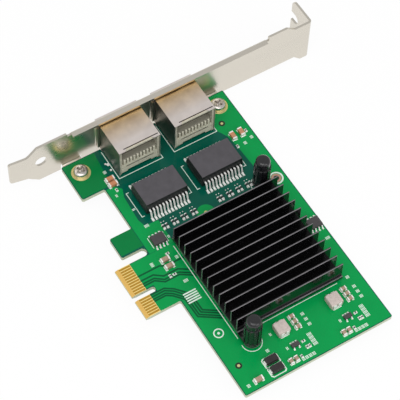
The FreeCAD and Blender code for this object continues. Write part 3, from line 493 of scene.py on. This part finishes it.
def anodised_finish(settings):
    """Black anodised aluminium with painted highlights where its cut edges catch the light."""
    finish = Finish("heatsink_anodised")
    top = limits("heatsink")[1].z
    height = finish.part(finish.place, "Z")
    tips = finish.sums("GREATER_THAN", height, top * MM - settings.tip_depth)
    last_tip = fin_field()[1].x * MM
    edges = fin_edges()
    pitch = edges[2] - edges[0]
    along_x = finish.part(finish.place, "X")
    along = finish.sums("SUBTRACT", along_x, last_tip - settings.tip_width - pitch * MM)
    lit = finish.sums("LESS_THAN", finish.sums("FLOORED_MODULO", along, pitch * MM), settings.tip_width)
    tips = finish.sums("MULTIPLY", tips, lit)
    facing = finish.part(finish.facing, "Y")
    ends = finish.sums("GREATER_THAN", finish.sums("ABSOLUTE", facing, 0), 0.6)
    ends_from = (limits("heatsink")[0].z + FIN_END_BOTTOM) * MM
    ends = finish.only(ends, "GREATER_THAN", height, ends_from)
    ledge = finish.sums("GREATER_THAN", along_x, (edges[-1] + LEDGE_START) * MM)
    ledge = finish.sums("MULTIPLY", ledge, finish.sums("GREATER_THAN", finish.part(finish.facing, "Z"), 0.3))
    ledge = finish.only(ledge, "LESS_THAN", along_x, (edges[-1] + LEDGE_END) * MM)
    # Painted highlights: one edge of each fin's tip, the ledge and, fainter, the fins' ends.
    cut = finish.sums("MAXIMUM", finish.sums("MAXIMUM", tips, ledge), finish.sums("MULTIPLY", ends, 0.45))
    cloud = finish.cloud(4.0)
    black = finish.blend(cloud, darker(settings.anodised, 0.7), settings.anodised)
    patchy = finish.spread(finish.noise(6.0, 3.0), 0.35, 0.65, 0.6, 1.0)
    finish.colour(finish.blend(finish.sums("MULTIPLY", cut, patchy), black, settings.cut))
    finish.roughness(finish.spread(cloud, 0, 1, 0.1, 0.18))
    finish.bump(finish.noise(0.3, 3.0, (1, 0.1, 1)), 0.002)
    finish.set(Specular_IOR_Level=0.9)
    return finish


def ceramic_finish(settings):
    """Fired ceramic, tan beside the first jack and browner along the card."""
    finish = Finish("capacitor_ceramic")
    start = limits("jack_shield_1")[1].x
    along = finish.spread(finish.part(finish.place, "X"), (start + 4) * MM, (start + 12) * MM)
    cloud = finish.cloud(0.8)
    body = finish.blend(along, settings.ceramic_tan, settings.ceramic)
    finish.colour(finish.blend(finish.sums("MULTIPLY", cloud, 0.35), body, darker(settings.ceramic, 0.6)))
    finish.roughness(finish.spread(cloud, 0, 1, 0.35, 0.55))
    finish.bump(finish.noise(0.1, 2.0), 0.004)
    return finish


# ---- shapes, in millimetres ----
def prism(bm, outline, low, high):
    """Flat plate between two heights."""
    rows = [[bm.verts.new((x * MM, y * MM, z * MM)) for x, y in outline] for z in (low, high)]
    bm.faces.new(rows[1])
    bm.faces.new(rows[0][::-1])
    for i in range(len(outline)):
        j = (i + 1) % len(outline)
        bm.faces.new((rows[0][i], rows[0][j], rows[1][j], rows[1][i]))


def box_outline(x0, x1, y0, y1):
    return [(x0, y0), (x1, y0), (x1, y1), (x0, y1)]


def ribbon(bm, path, width, low, high):
    """Line of one width along a path, with mitred corners."""
    left = []
    right = []
    for i, point in enumerate(path):
        here = Vector(point)
        after = (Vector(path[i + 1]) - here).normalized() if i + 1 < len(path) else None
        before = (here - Vector(path[i - 1])).normalized() if i else after
        after = after or before
        bisector = Vector((-before.y - after.y, before.x + after.x))
        bisector *= width / 2 / (1 + before.dot(after))
        left.append(tuple(here + bisector))
        right.append(tuple(here - bisector))
    prism(bm, left + right[::-1], low, high)


def arc(x, y, radius, start, end, steps=18):
    """Points along an arc, its angles in degrees."""
    turns = [math.radians(start + (end - start) * i / steps) for i in range(steps + 1)]
    return [(x + radius * math.cos(turn), y + radius * math.sin(turn)) for turn in turns]


def disc(bm, x, y, radius, low, high, steps=20):
    prism(bm, arc(x, y, radius, 0, 360 - 360 / steps, steps - 1), low, high)


def ring(bm, x, y, inner, outer, low, high, steps=32):
    """Flat ring."""
    rows = []
    for radius, z in ((inner, low), (outer, low), (outer, high), (inner, high)):
        points = arc(x, y, radius, 0, 360 - 360 / steps, steps - 1)
        rows.append([bm.verts.new((u * MM, v * MM, z * MM)) for u, v in points])
    for first, second in zip(rows, rows[1:] + rows[:1]):
        for i in range(steps):
            j = (i + 1) % steps
            bm.faces.new((first[i], first[j], second[j], second[i]))


def mound(bm, x0, x1, y0, y1, spread, low, high):
    """Solder that slopes up from a pad to the metal that stands on it."""
    levels = ((low, spread), (low + (high - low) * 0.35, spread * 0.45), (high, 0.0))
    rows = []
    for z, out in levels:
        corners = box_outline(x0 - out, x1 + out, y0 - out, y1 + out)
        rows.append([bm.verts.new((x * MM, y * MM, z * MM)) for x, y in corners])
    bm.faces.new(rows[0][::-1])
    bm.faces.new(rows[-1])
    for first, second in zip(rows, rows[1:]):
        for i in range(4):
            j = (i + 1) % 4
            bm.faces.new((first[i], first[j], second[j], second[i]))


def solids(node):
    """Points of each separate solid of a CAD node, in millimetres."""
    bm = bmesh.new()
    bm.from_mesh(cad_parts[node].data)
    bmesh.ops.remove_doubles(bm, verts=bm.verts, dist=1e-7)
    waiting = set(bm.verts)
    groups = []
    while waiting:
        queue = [min(waiting, key=lambda vert: vert.index)]
        waiting.discard(queue[0])
        points = []
        while queue:
            vert = queue.pop()
            points.append(vert.co / MM)
            for edge in vert.link_edges:
                other = edge.other_vert(vert)
                if other in waiting:
                    waiting.discard(other)
                    queue.append(other)
        groups.append(points)
    bm.free()
    return groups


def foot(points, reach=0.12):
    """Limits in X and Y of what stands on the board."""
    low = min(point.z for point in points)
    standing = [point for point in points if point.z < low + reach]
    xs = [point.x for point in standing]
    ys = [point.y for point in standing]
    return min(xs), max(xs), min(ys), max(ys)


def piece(name, bm, finish):
    """Object of the card that rides with it."""
    bmesh.ops.recalc_face_normals(bm, faces=bm.faces)
    mesh = bpy.data.meshes.new(name)
    bm.to_mesh(mesh)
    bm.free()
    mesh.materials.append(finish.material)
    thing = bpy.data.objects.new(name, mesh)
    bpy.context.scene.collection.objects.link(thing)
    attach(thing, "root")
    return thing


def dress(names, finish, edge=0.0):
    """Gives CAD nodes their finish and eases their edges."""
    for name in names:
        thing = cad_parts[name]
        thing.data.materials.clear()
        thing.data.materials.append(finish.material)
        if edge:
            weld = thing.modifiers.new("weld", "WELD")
            weld.merge_threshold = 1e-6
            bevel = thing.modifiers.new("eased_edges", "BEVEL")
            bevel.width = edge * MM
            bevel.segments = 2
            bevel.limit_method = "ANGLE"
            bevel.angle_limit = math.radians(35)
            bevel.use_clamp_overlap = True
            thing.modifiers.new("even_shading", "WEIGHTED_NORMAL")


def settings(name):
    return getattr(bpy.context.scene, name)


# ---- board ----
def pour_outlines():
    """Copper pours under the mask: bright ones, then those of the mounting corners."""
    low, high = limits("circuit_board")
    foot_low, foot_high = limits("edge_contacts")
    rear = limits("jack_shield_1")[1].x
    jack_end = limits("jack_shield_2")[1].y
    first_low, first_high = limits("transformer_body_1")
    last_low, last_high = limits("transformer_body_2")
    fins_low, fins_high = fin_field()
    left = low.x + 15.6
    shoulder = 13.2
    row = first_high.x + 3.0
    tongue_low = foot_high.y + 0.25
    bright = [
        [(left, shoulder), (foot_low.x - 0.2, shoulder), (foot_low.x - 0.2, fins_low.y + 0.4),
         (row + 0.3, fins_low.y + 0.4), (row, first_low.y - 2.4), (row - 3, first_low.y - 3.2),
         (first_low.x + 0.2, first_low.y - 2.7), (first_low.x - 3.0, first_low.y - 1.5),
         (left, first_low.y - 3.5)],
        [(foot_low.x - 0.1, tongue_low), (-1.3, tongue_low), (-1.3, 8.3), (1.3, 8.3), (1.3, tongue_low),
         (foot_high.x + 0.3, tongue_low), (foot_high.x + 0.3, shoulder), (high.x - 0.3, shoulder),
         (high.x - 0.3, high.y - 0.3), (low.x + 0.3, high.y - 0.3), (low.x + 0.3, jack_end + 0.8),
         (rear + 0.6, jack_end + 0.6), (rear + 4.5, jack_end + 2.6), (last_low.x + 4, jack_end + 3.4),
         (last_high.x + 1.5, jack_end + 3.8), (last_high.x + 4.2, jack_end + 2.2),
         (row + 3.6, jack_end + 5.6), (fins_low.x - 1.0, jack_end + 7.2),
         (fins_low.x + 3.0, fins_high.y - 2), (fins_high.x - 2, fins_high.y - 2),
         (fins_high.x - 2, fins_low.y + 1.5), (foot_low.x - 0.1, fins_low.y + 1.5)],
    ]
    bright.append(arc(fins_low.x - SPOT_OFFSET, SPOT_Y, 3.2, 65, 295))
    deep = [
        [(low.x + 0.3, 4.8), (left - 1.0, 4.8), (left - 1.0, 14.2), (rear - 0.5, 16.0), (low.x + 0.3, 17.0)],
        [(-23.6, 4.8), (-15.9, 4.8), (-15.9, 13.0), (-23.6, 13.0)],
    ]
    return bright, deep


def beside(path, distance):
    """Path that runs a distance to the right of another."""
    moved = []
    for i, point in enumerate(path):
        here = Vector(point)
        after = (Vector(path[i + 1]) - here).normalized() if i + 1 < len(path) else None
        before = (here - Vector(path[i - 1])).normalized() if i else after
        after = after or before
        bisector = Vector((before.y + after.y, -before.x - after.x))
        moved.append(tuple(here + bisector * distance / (1 + before.dot(after))))
    return moved


def track_paths():
    """Pairs of tracks between the edge contacts and the controller."""
    start = limits("edge_contacts")[1].y + 0.1
    goal = fin_field()[0].y + 1.2
    right = [(1.5, start), (1.5, 10.6), (3.4, 13.4), (7.6, 17.0), (14.6, 17.2), (18.6, goal)]
    left = [(-2.5, start), (-2.5, 9.4), (-0.4, 12.2), (-0.4, 17.6), (3.2, goal)]
    far = [(-6.5, start), (-6.5, 13.6), (-5.4, 15.4), (-5.4, goal)]
    paths = [beside(right, gap) for gap in (0.0, 0.85, 1.8, 2.6)]
    paths += [beside(left, -gap) for gap in (0.0, 0.85, 2.1)]
    paths.append(far)
    return paths


def silk_paths():
    """Printed lines round the jacks, transformers, heatsink and small parts."""
    paths = []
    start = limits("circuit_board")[0].x + 1.3
    for number in (1, 2):
        low, high = limits(f"jack_shield_{number}")
        paths.append([(start, low.y - 0.55), (high.x + 0.75, low.y - 0.55), (high.x + 0.75, high.y + 0.55),
                      (start, high.y + 0.55)])
        low, high = limits(f"transformer_body_{number}")
        for y, inward in ((low.y - 1.45, 1), (high.y + 1.45, -1)):
            paths.append([(low.x - 0.6, y + inward), (low.x - 0.6, y), (high.x - 0.35, y),
                          (high.x - 0.35, y + inward)])
    low, high = fin_field()
    far, near = pin_centres()
    paths.append([(low.x + 1.0, low.y - 0.4), (near.x - 3.2, low.y - 0.4)])
    paths.append([(high.x + 0.8, near.y + 3.6), (high.x + 0.8, high.y - 2.0)])
    paths.append(arc(near.x, near.y, 3.4, -100, 80))
    paths.append(arc(far.x, far.y, 3.4, 105, 275))
    low, high = limits("memory_chip_body")
    paths.append([(low.x - 0.6, low.y - 0.35), (high.x, low.y - 0.35)])
    paths.append([(low.x - 0.6, high.y + 0.35), (high.x, high.y + 0.35)])
    low, high = limits("edge_chip_body")
    paths.append([(low.x, low.y - 0.35), (high.x, low.y - 0.35)])
    return paths


def pin_centres():
    """Middles of the push pins, the one nearer the bracket first."""
    middles = [sum(group, Vector()) / len(group) for group in solids("push_pins")]
    return sorted(middles, key=lambda middle: middle.x)


def frame_outline(bm, low, high, gap, corner, width, top):
    """Closed printed frame round a part, with cut corners."""
    x0, x1, y0, y1 = low.x - gap, high.x + gap, low.y - gap, high.y + gap
    ends = [(x0 + corner, y0), (x1 - corner, y0), (x1, y0 + corner), (x1, y1 - corner), (x1 - corner, y1),
            (x0 + corner, y1), (x0, y1 - corner), (x0, y0 + corner)]
    middle_x, middle_y = (x0 + x1) / 2, (y0 + y1) / 2
    rows = []
    for z in (0.0, top):
        for inset in (0.0, width):
            points = []
            for x, y in ends:
                points.append((x - math.copysign(inset, x - middle_x),
                               y - math.copysign(inset, y - middle_y)))
            rows.append([bm.verts.new((x * MM, y * MM, z * MM)) for x, y in points])
    order = (rows[0], rows[1], rows[3], rows[2])
    for first, second in zip(order, order[1:] + order[:1]):
        for i in range(len(ends)):
            j = (i + 1) % len(ends)
            bm.faces.new((first[i], first[j], second[j], second[i]))


def tick_groups():
    """Plain groups of short strokes: place, strokes, and whether they are stacked along Y."""
    groups = [
        (-47.4, 16.3, 3, False), (-37.2, 15.1, 2, True), (-21.9, 17.8, 4, True), (-6.6, 20.3, 3, False),
        (-8.0, 11.7, 4, False), (2.6, 18.2, 4, True), (-34.6, 67.1, 3, False), (-33.6, 63.9, 3, False),
        (12.6, 67.2, 4, True), (45.4, 15.5, 3, False), (37.9, 27.3, 3, False), (-29.6, 17.3, 2, False),
        (33.4, 31.2, 2, True), (40.4, 33.2, 2, True), (40.7, 53.3, 2, True), (28.4, 64.4, 3, True),
        (-14.7, 22.0, 2, True),
    ]
    for number in (1, 2):
        low, high = limits(f"inductor_body_{number}")
        above = high.y + 6.9
        groups += [(low.x + 0.6 + 2.1 * i, above, 3, True) for i in range(3)]
        groups += [(high.x + 3.4 + 1.25 * i, above - 2.2, 4, True) for i in range(4)]
        groups += [(46.2, high.y - 1.6 + 1.3 * i, 3, False) for i in range(4)]
    return groups


def build_board():
    """Mask, pours, tracks, print, pads and solder on the board."""
    look = settings("board_settings")
    metals = settings("metal_settings")
    dress(["circuit_board"], board_finish(look))
    bright, deep = pour_outlines()
    pour_top = look.pour_height / MM
    track_top = look.track_height / MM
    print_top = look.print_height / MM
    for name, outlines, colour in (("bright_pours", bright, look.mask_over_copper),
                                   ("corner_pours", deep, look.mask_on_lugs)):
        bm = bmesh.new()
        for outline in outlines:
            prism(bm, outline, 0.0, pour_top)
        piece(name, bm, mask_finish(name + "_mask", colour, look))
    bm = bmesh.new()
    for path in track_paths():
        ribbon(bm, path, 0.62, 0.0, track_top)
    piece("tracks", bm, mask_finish("track_mask", shade(0, 92, 52), look))
    build_print(look)
    bm = bmesh.new()
    spots = ((-44.5, 61.2), (37.7, 16.6))
    fins_low = fin_field()[0]
    disc(bm, fins_low.x - SPOT_OFFSET, SPOT_Y, 0.7, 0.0, print_top)
    for x, y in spots:
        disc(bm, x, y, 0.5, 0.0, print_top)
    piece("gold_spots", bm, plated("spot_gold", metals.pad_gold, (0.4, 0.5), metal=0.3))
    bm = bmesh.new()
    ring(bm, *HOLE, 1.0, 1.75, 0.0, print_top)
    piece("plated_hole_ring", bm, plated("ring_copper", shade(214, 168, 150), (0.35, 0.45)))
    bm = bmesh.new()
    for x, y in spots:
        ring(bm, x, y, 0.55, 1.15, 0.0, track_top)
    disc(bm, *HOLE, 0.95, 0.0, track_top)
    piece("bare_rings", bm, mottled("bare_laminate", shade(16, 44, 26), 0.2, 1.0, (0.4, 0.5), 0.003))
    build_solder(look, metals)


def build_print(look):
    """Printed lines, frames and plain marks."""
    top = look.print_height / MM
    width = look.print_width / MM
    bm = bmesh.new()
    for path in silk_paths():
        ribbon(bm, path, width, 0.0, top)
    for number in (1, 2):
        low, high = limits(f"diode_body_{number}")
        frame_outline(bm, low, high, 0.75, 0.6, 0.32, top)
    ring(bm, *HOLE, 1.95, 2.5, 0.0, top)
    ring(bm, *ROUND_MARK, 1.35, 1.75, 0.0, top)
    disc(bm, *ROUND_MARK, 0.45, 0.0, top)
    for i in range(5):
        prism(bm, box_outline(6.6 + 0.9 * i, 7.1 + 0.9 * i, 14.6, 19.4), 0.0, top)
    for x, y, count, stacked in tick_groups():
        for i in range(count):
            shift = TICK_PITCH * (i - (count - 1) / 2)
            if stacked:
                half_x, half_y = TICK_HALF_LENGTH, TICK_HALF_WIDTH
                at_x, at_y = x, y + shift
            else:
                half_x, half_y = TICK_HALF_WIDTH, TICK_HALF_LENGTH
                at_x, at_y = x + shift, y
            prism(bm, box_outline(at_x - half_x, at_x + half_x, at_y - half_y, at_y + half_y), 0.0, top)
    piece("printed_lines", bm, mottled("print_ink", look.print_colour, 0.08, 0.8, (0.5, 0.6), 0.003))


LEAD_NODES = ("transformer_leads_1", "transformer_leads_2", "memory_chip_leads", "edge_chip_leads",
              "regulator_leads_1", "regulator_leads_2", "inductor_terminals_1", "inductor_terminals_2",
              "diode_terminals_1", "diode_terminals_2")
CHIP_END_NODES = ("large_capacitor_ends", "medium_capacitor_ends", "resistor_ends", "small_part_ends")


def build_solder(look, metals):
    """Solder on the pads of every lead and end cap."""
    bm = bmesh.new()
    top = look.solder_height / MM
    for node in LEAD_NODES:
        for points in solids(node):
            x0, x1, y0, y1 = foot(points)
            mound(bm, x0, x1, y0, y1, LEAD_SPREAD, 0.0, top)
    row_low, row_high = limits("resistor_ends")
    row_middle = (row_low.x + row_high.x) / 2
    for node in CHIP_END_NODES:
        spread = RESISTOR_SPREAD if node == "resistor_ends" else CAP_SPREAD
        for points in solids(node):
            x0, x1, y0, y1 = foot(points)
            if node == "resistor_ends" and x0 > row_middle:
                x1 += RESISTOR_PAD
            mound(bm, x0, x1, y0, y1, spread, 0.0, top * 3)
    piece("solder", bm, plated("solder_tin", metals.tin, (0.25, 0.4), 0.6, metal=0.12))
    bm = bmesh.new()
    for x, y, radius in ((-49.6, 18.9, 0.6), (-50.2, 18.2, 0.35), (-47.2, 18.6, 0.4)):
        disc(bm, x, y, radius, 0.0, top)
    for number in (1, 2):
        low, high = limits(f"transformer_body_{number}")
        middle = (low.y + high.y) / 2
        for group in range(4):
            y = middle - PAIR_OFFSET + PAIR_PITCH * group
            for side in (-1, 1):
                disc(bm, -20.6, y + side * 0.5, 0.17, 0.0, top)
    piece("solder_spots", bm, plated("spot_tin", metals.tin, (0.25, 0.4), 0.6, metal=0.12))


class NETCARD_OT_board(bpy.types.Operator):
    """Dress the board: mask, pours, tracks, printed lines and solder"""

    bl_idname = "netcard.board"
    bl_label = "Board"

    def execute(self, context):
        build_board()
        return {"FINISHED"}


# ---- metalwork ----
def build_metalwork():
    """Gold contacts and rings, the bracket and its screws."""
    look = settings("metal_settings")
    dress(["edge_contacts"], plated("contact_gold", look.gold, (0.24, 0.36), 1.2))
    dress(["ring_pads"], plated("pad_gold", look.pad_gold, (0.3, 0.42), 1.2, metal=0.8))
    dress(["bracket"], plated("bracket_nickel", look.bracket, (0.24, 0.36), 12.0, 0.06, 0.002, (1, 0.25, 1)),
          0.12)
    dress(["bracket_screws"], plated("screw_plating", look.screw, (0.18, 0.3), 1.5), 0.08)


class NETCARD_OT_metalwork(bpy.types.Operator):
    """Dress the contacts, the bracket and the screws"""

    bl_idname = "netcard.metalwork"
    bl_label = "Metalwork"

    def execute(self, context):
        build_metalwork()
        return {"FINISHED"}


# ---- jacks ----
def build_jacks():
    """Shields, housings, inserts, springs and lights of both jacks."""
    metals = settings("metal_settings")
    plastics = settings("plastic_settings")
    dress(["jack_shield_1", "jack_shield_2"], shield_finish(metals.shield))
    dress(["jack_housing_1", "jack_housing_2"], housing_finish(plastics))
    dress(["jack_carrier_1", "jack_carrier_2"], carrier_finish(plastics))
    dress(["jack_springs_1", "jack_springs_2"], plated("spring_gold", metals.gold, (0.2, 0.3), 1.0))
    lens = mottled("light_lens", plastics.lens, 0.1, 1.0, (0.15, 0.25), 0.002)
    lens.set(Transmission_Weight=0.4)
    dress(["jack_lights_1", "jack_lights_2"], lens, 0.06)


class NETCARD_OT_jacks(bpy.types.Operator):
    """Dress the two network jacks"""

    bl_idname = "netcard.jacks"
    bl_label = "Jacks"

    def execute(self, context):
        build_jacks()
        return {"FINISHED"}


# ---- magnetics and chips ----
def build_chips():
    """Transformers, small chips and the controller."""
    metals = settings("metal_settings")
    plastics = settings("plastic_settings")
    dress(["transformer_body_1", "transformer_body_2"],
          resin_finish(plastics.magnetics, plastics.shaded_mould_sides), 0.15)
    dress(["memory_chip_body", "edge_chip_body", "regulator_body_1", "regulator_body_2", "controller_chip"],
          mottled("chip_resin", plastics.chips, 0.15, 1.2, (0.42, 0.55), 0.008), 0.08)
    leads = plated("lead_tin", metals.tin, (0.25, 0.4), 0.8, metal=0.15)
    dress(["transformer_leads_1", "transformer_leads_2", "memory_chip_leads", "edge_chip_leads",
           "regulator_leads_1", "regulator_leads_2"], leads, 0.03)
    dress(["thermal_pad"], mottled("thermal_pad_rubber", plastics.pad, 0.15, 1.0, (0.7, 0.85), 0.01))


class NETCARD_OT_chips(bpy.types.Operator):
    """Dress the transformers and the chips"""

    bl_idname = "netcard.chips"
    bl_label = "Chips"

    def execute(self, context):
        build_chips()
        return {"FINISHED"}


# ---- heatsink ----
def build_heatsink():
    """Heatsink and its push pins."""
    dress(["heatsink"], anodised_finish(settings("heatsink_settings")), 0.05)
    plastics = settings("plastic_settings")
    pins = mottled("pin_plastic", plastics.pins, 0.25, 1.5, (0.18, 0.3), 0.008)
    pins.set(Coat_Weight=0.2, Coat_Roughness=0.2)
    dress(["push_pins"], pins, 0.08)


class NETCARD_OT_heatsink(bpy.types.Operator):
    """Dress the heatsink and its push pins"""

    bl_idname = "netcard.heatsink"
    bl_label = "Heatsink"

    def execute(self, context):
        build_heatsink()
        return {"FINISHED"}


# ---- small parts ----
def build_small_parts():
    """Inductors, diodes, capacitors and resistors."""
    metals = settings("metal_settings")
    plastics = settings("plastic_settings")
    dress(["inductor_body_1", "inductor_body_2"],
          mottled("inductor_powder", plastics.inductors, 0.18, 0.9, (0.5, 0.65), 0.02), 0.25)
    dress(["diode_body_1", "diode_body_2"],
          mottled("diode_resin", plastics.diodes, 0.2, 1.2, (0.35, 0.5), 0.008), 0.1)
    tin = plated("end_tin", metals.tin, (0.25, 0.4), 0.7, metal=0.15)
    dress(["diode_terminals_1", "diode_terminals_2"], tin, 0.03)
    dress(["inductor_terminals_1", "inductor_terminals_2"],
          mottled("dipped_tin", metals.tin, 0.12, 0.5, (0.35, 0.5), 0.004), 0.03)
    dress(["large_capacitor_ends", "medium_capacitor_ends", "resistor_ends", "small_part_ends"], tin, 0.06)
    dress(["large_capacitor_bodies", "medium_capacitor_bodies"], ceramic_finish(plastics), 0.05)
    dress(["resistor_bodies", "small_part_bodies"],
          mottled("small_part_body", plastics.resistors, 0.2, 0.5, (0.35, 0.5), 0.004), 0.03)


class NETCARD_OT_small_parts(bpy.types.Operator):
    """Dress the inductors, diodes, capacitors and resistors"""

    bl_idname = "netcard.small_parts"
    bl_label = "Small Parts"

    def execute(self, context):
        build_small_parts()
        return {"FINISHED"}


# ---- stage ----
def seen_or_mirrored(nodes, links):
    """Whether a ray comes from the camera, a mirror or glass."""
    path = nodes.new("ShaderNodeLightPath")
    total = path.outputs["Is Camera Ray"]
    for name in ("Is Glossy Ray", "Is Transmission Ray"):
        node = nodes.new("ShaderNodeMath")
        node.operation = "MAXIMUM"
        links.new(total, node.inputs[0])
        links.new(path.outputs[name], node.inputs[1])
        total = node.outputs["Value"]
    return total


def floor_finish(colour):
    """Pale floor that keeps a little of the card's shadow."""
    material = bpy.data.materials.new("floor_paper")
    material.use_nodes = True
    nodes = material.node_tree.nodes
    links = material.node_tree.links
    shader = nodes["Principled BSDF"]
    shader.inputs["Base Color"].default_value = (*colour, 1.0)
    shader.inputs["Roughness"].default_value = 0.9
    glow = nodes.new("ShaderNodeEmission")
    glow.inputs["Color"].default_value = (1, 1, 1, 1)
    glow.inputs["Strength"].default_value = 1.0
    amount = nodes.new("ShaderNodeMath")
    amount.operation = "MULTIPLY"
    amount.inputs[1].default_value = 0.94
    links.new(seen_or_mirrored(nodes, links), amount.inputs[0])
    mix = nodes.new("ShaderNodeMixShader")
    links.new(amount.outputs["Value"], mix.inputs["Fac"])
    links.new(shader.outputs["BSDF"], mix.inputs[1])
    links.new(glow.outputs["Emission"], mix.inputs[2])
    links.new(mix.outputs["Shader"], nodes["Material Output"].inputs["Surface"])
    return material


def lamp(name, direction, distance, size, power, target):
    """Soft square lamp that faces the card."""
    light = bpy.data.lights.new(name, "AREA")
    light.shape = "SQUARE"
    light.size = size
    light.energy = power
    thing = bpy.data.objects.new(name, light)
    bpy.context.scene.collection.objects.link(thing)
    away = Vector(direction).normalized()
    thing.location = target + away * distance
    thing.rotation_mode = "QUATERNION"
    thing.rotation_quaternion = (-away).to_track_quat("-Z", "Y")


def build_stage():
    """Floor, sky, lamps and camera."""
    look = settings("stage_settings")
    scene = bpy.context.scene
    scene.view_settings.view_transform = "Standard"
    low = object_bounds()[0]
    mesh = bpy.data.meshes.new("floor")
    reach = 3.0
    mesh.from_pydata([(-reach, -reach, 0), (reach, -reach, 0), (reach, reach, 0), (-reach, reach, 0)], [],
                     [(0, 1, 2, 3)])
    floor = bpy.data.objects.new("floor", mesh)
    floor.location = (0, 0, low.z - look.floor_drop)
    scene.collection.objects.link(floor)
    mesh.materials.append(floor_finish(look.floor))
    floor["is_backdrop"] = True

    world = bpy.data.worlds.new("soft_sky")
    world.use_nodes = True
    nodes = world.node_tree.nodes
    links = world.node_tree.links
    even = nodes["Background"]
    even.inputs["Color"].default_value = (1, 1, 1, 1)
    even.inputs["Strength"].default_value = look.sky
    white = nodes.new("ShaderNodeBackground")
    white.inputs["Strength"].default_value = 1.0
    mix = nodes.new("ShaderNodeMixShader")
    path = nodes.new("ShaderNodeLightPath")
    links.new(path.outputs["Is Camera Ray"], mix.inputs["Fac"])
    links.new(even.outputs["Background"], mix.inputs[1])
    links.new(white.outputs["Background"], mix.inputs[2])
    links.new(mix.outputs["Shader"], nodes["World Output"].inputs["Surface"])
    scene.world = world

    target = Vector(look.target)
    lamp("overhead", (0.3, -0.35, 1.0), 0.9, 0.7, look.overhead, target)
    lamp("side", (1.0, 0.35, 0.7), 0.9, 0.5, look.side, target)

    bearing, height = look.bearing, look.height
    forward = Vector((math.sin(bearing) * math.cos(height), math.cos(bearing) * math.cos(height),
                      -math.sin(height)))
    across = Vector((math.cos(bearing), -math.sin(bearing), 0))
    upward = across.cross(forward)
    turn = Matrix.Rotation(-look.roll, 3, forward)
    across, upward = turn @ across, turn @ upward
    camera = bpy.data.objects.new("camera", bpy.data.cameras.new("camera"))
    camera.data.lens = look.lens
    camera.data.sensor_width = 36.0
    camera.data.clip_start = 0.01
    camera.matrix_world = Matrix.Translation(target - forward * look.distance) @ Matrix(
        (across, upward, -forward)).transposed().to_4x4()
    scene.collection.objects.link(camera)
    scene.camera = camera


class NETCARD_OT_stage(bpy.types.Operator):
    """Set up the floor, the light and the camera"""

    bl_idname = "netcard.stage"
    bl_label = "Stage"

    def execute(self, context):
        build_stage()
        return {"FINISHED"}


class NETCARD_PT_panel(bpy.types.Panel):
    """Steps and settings of the network card"""

    bl_idname = "NETCARD_PT_panel"
    bl_label = "Network Card"
    bl_space_type = "VIEW_3D"
    bl_region_type = "UI"
    bl_category = "Network Card"

    def draw(self, context):
        for step in OPERATORS:
            self.layout.operator(step.bl_idname, text=step.bl_label)
        for name, group in GROUPS.items():
            box = self.layout.box()
            for key in group.__annotations__:
                box.prop(getattr(context.scene, name), key)


OPERATORS = (NETCARD_OT_board, NETCARD_OT_metalwork, NETCARD_OT_jacks, NETCARD_OT_chips, NETCARD_OT_heatsink,
             NETCARD_OT_small_parts, NETCARD_OT_stage)
GROUPS = {
    "board_settings": BoardSettings,
    "metal_settings": MetalSettings,
    "plastic_settings": PlasticSettings,
    "heatsink_settings": HeatsinkSettings,
    "stage_settings": StageSettings,
}


def register():
    for name, group in GROUPS.items():
        bpy.utils.register_class(group)
        setattr(bpy.types.Scene, name, bpy.props.PointerProperty(type=group))
    for step in (*OPERATORS, NETCARD_PT_panel):
        bpy.utils.register_class(step)


def unregister():
    for step in (NETCARD_PT_panel, *reversed(OPERATORS)):
        bpy.utils.unregister_class(step)
    for name, group in GROUPS.items():
        delattr(bpy.types.Scene, name)
        bpy.utils.unregister_class(group)


def main():
    register()
    for step in OPERATORS:
        group, name = step.bl_idname.split(".")
        getattr(getattr(bpy.ops, group), name)()


if __name__ == "__main__":
    main()
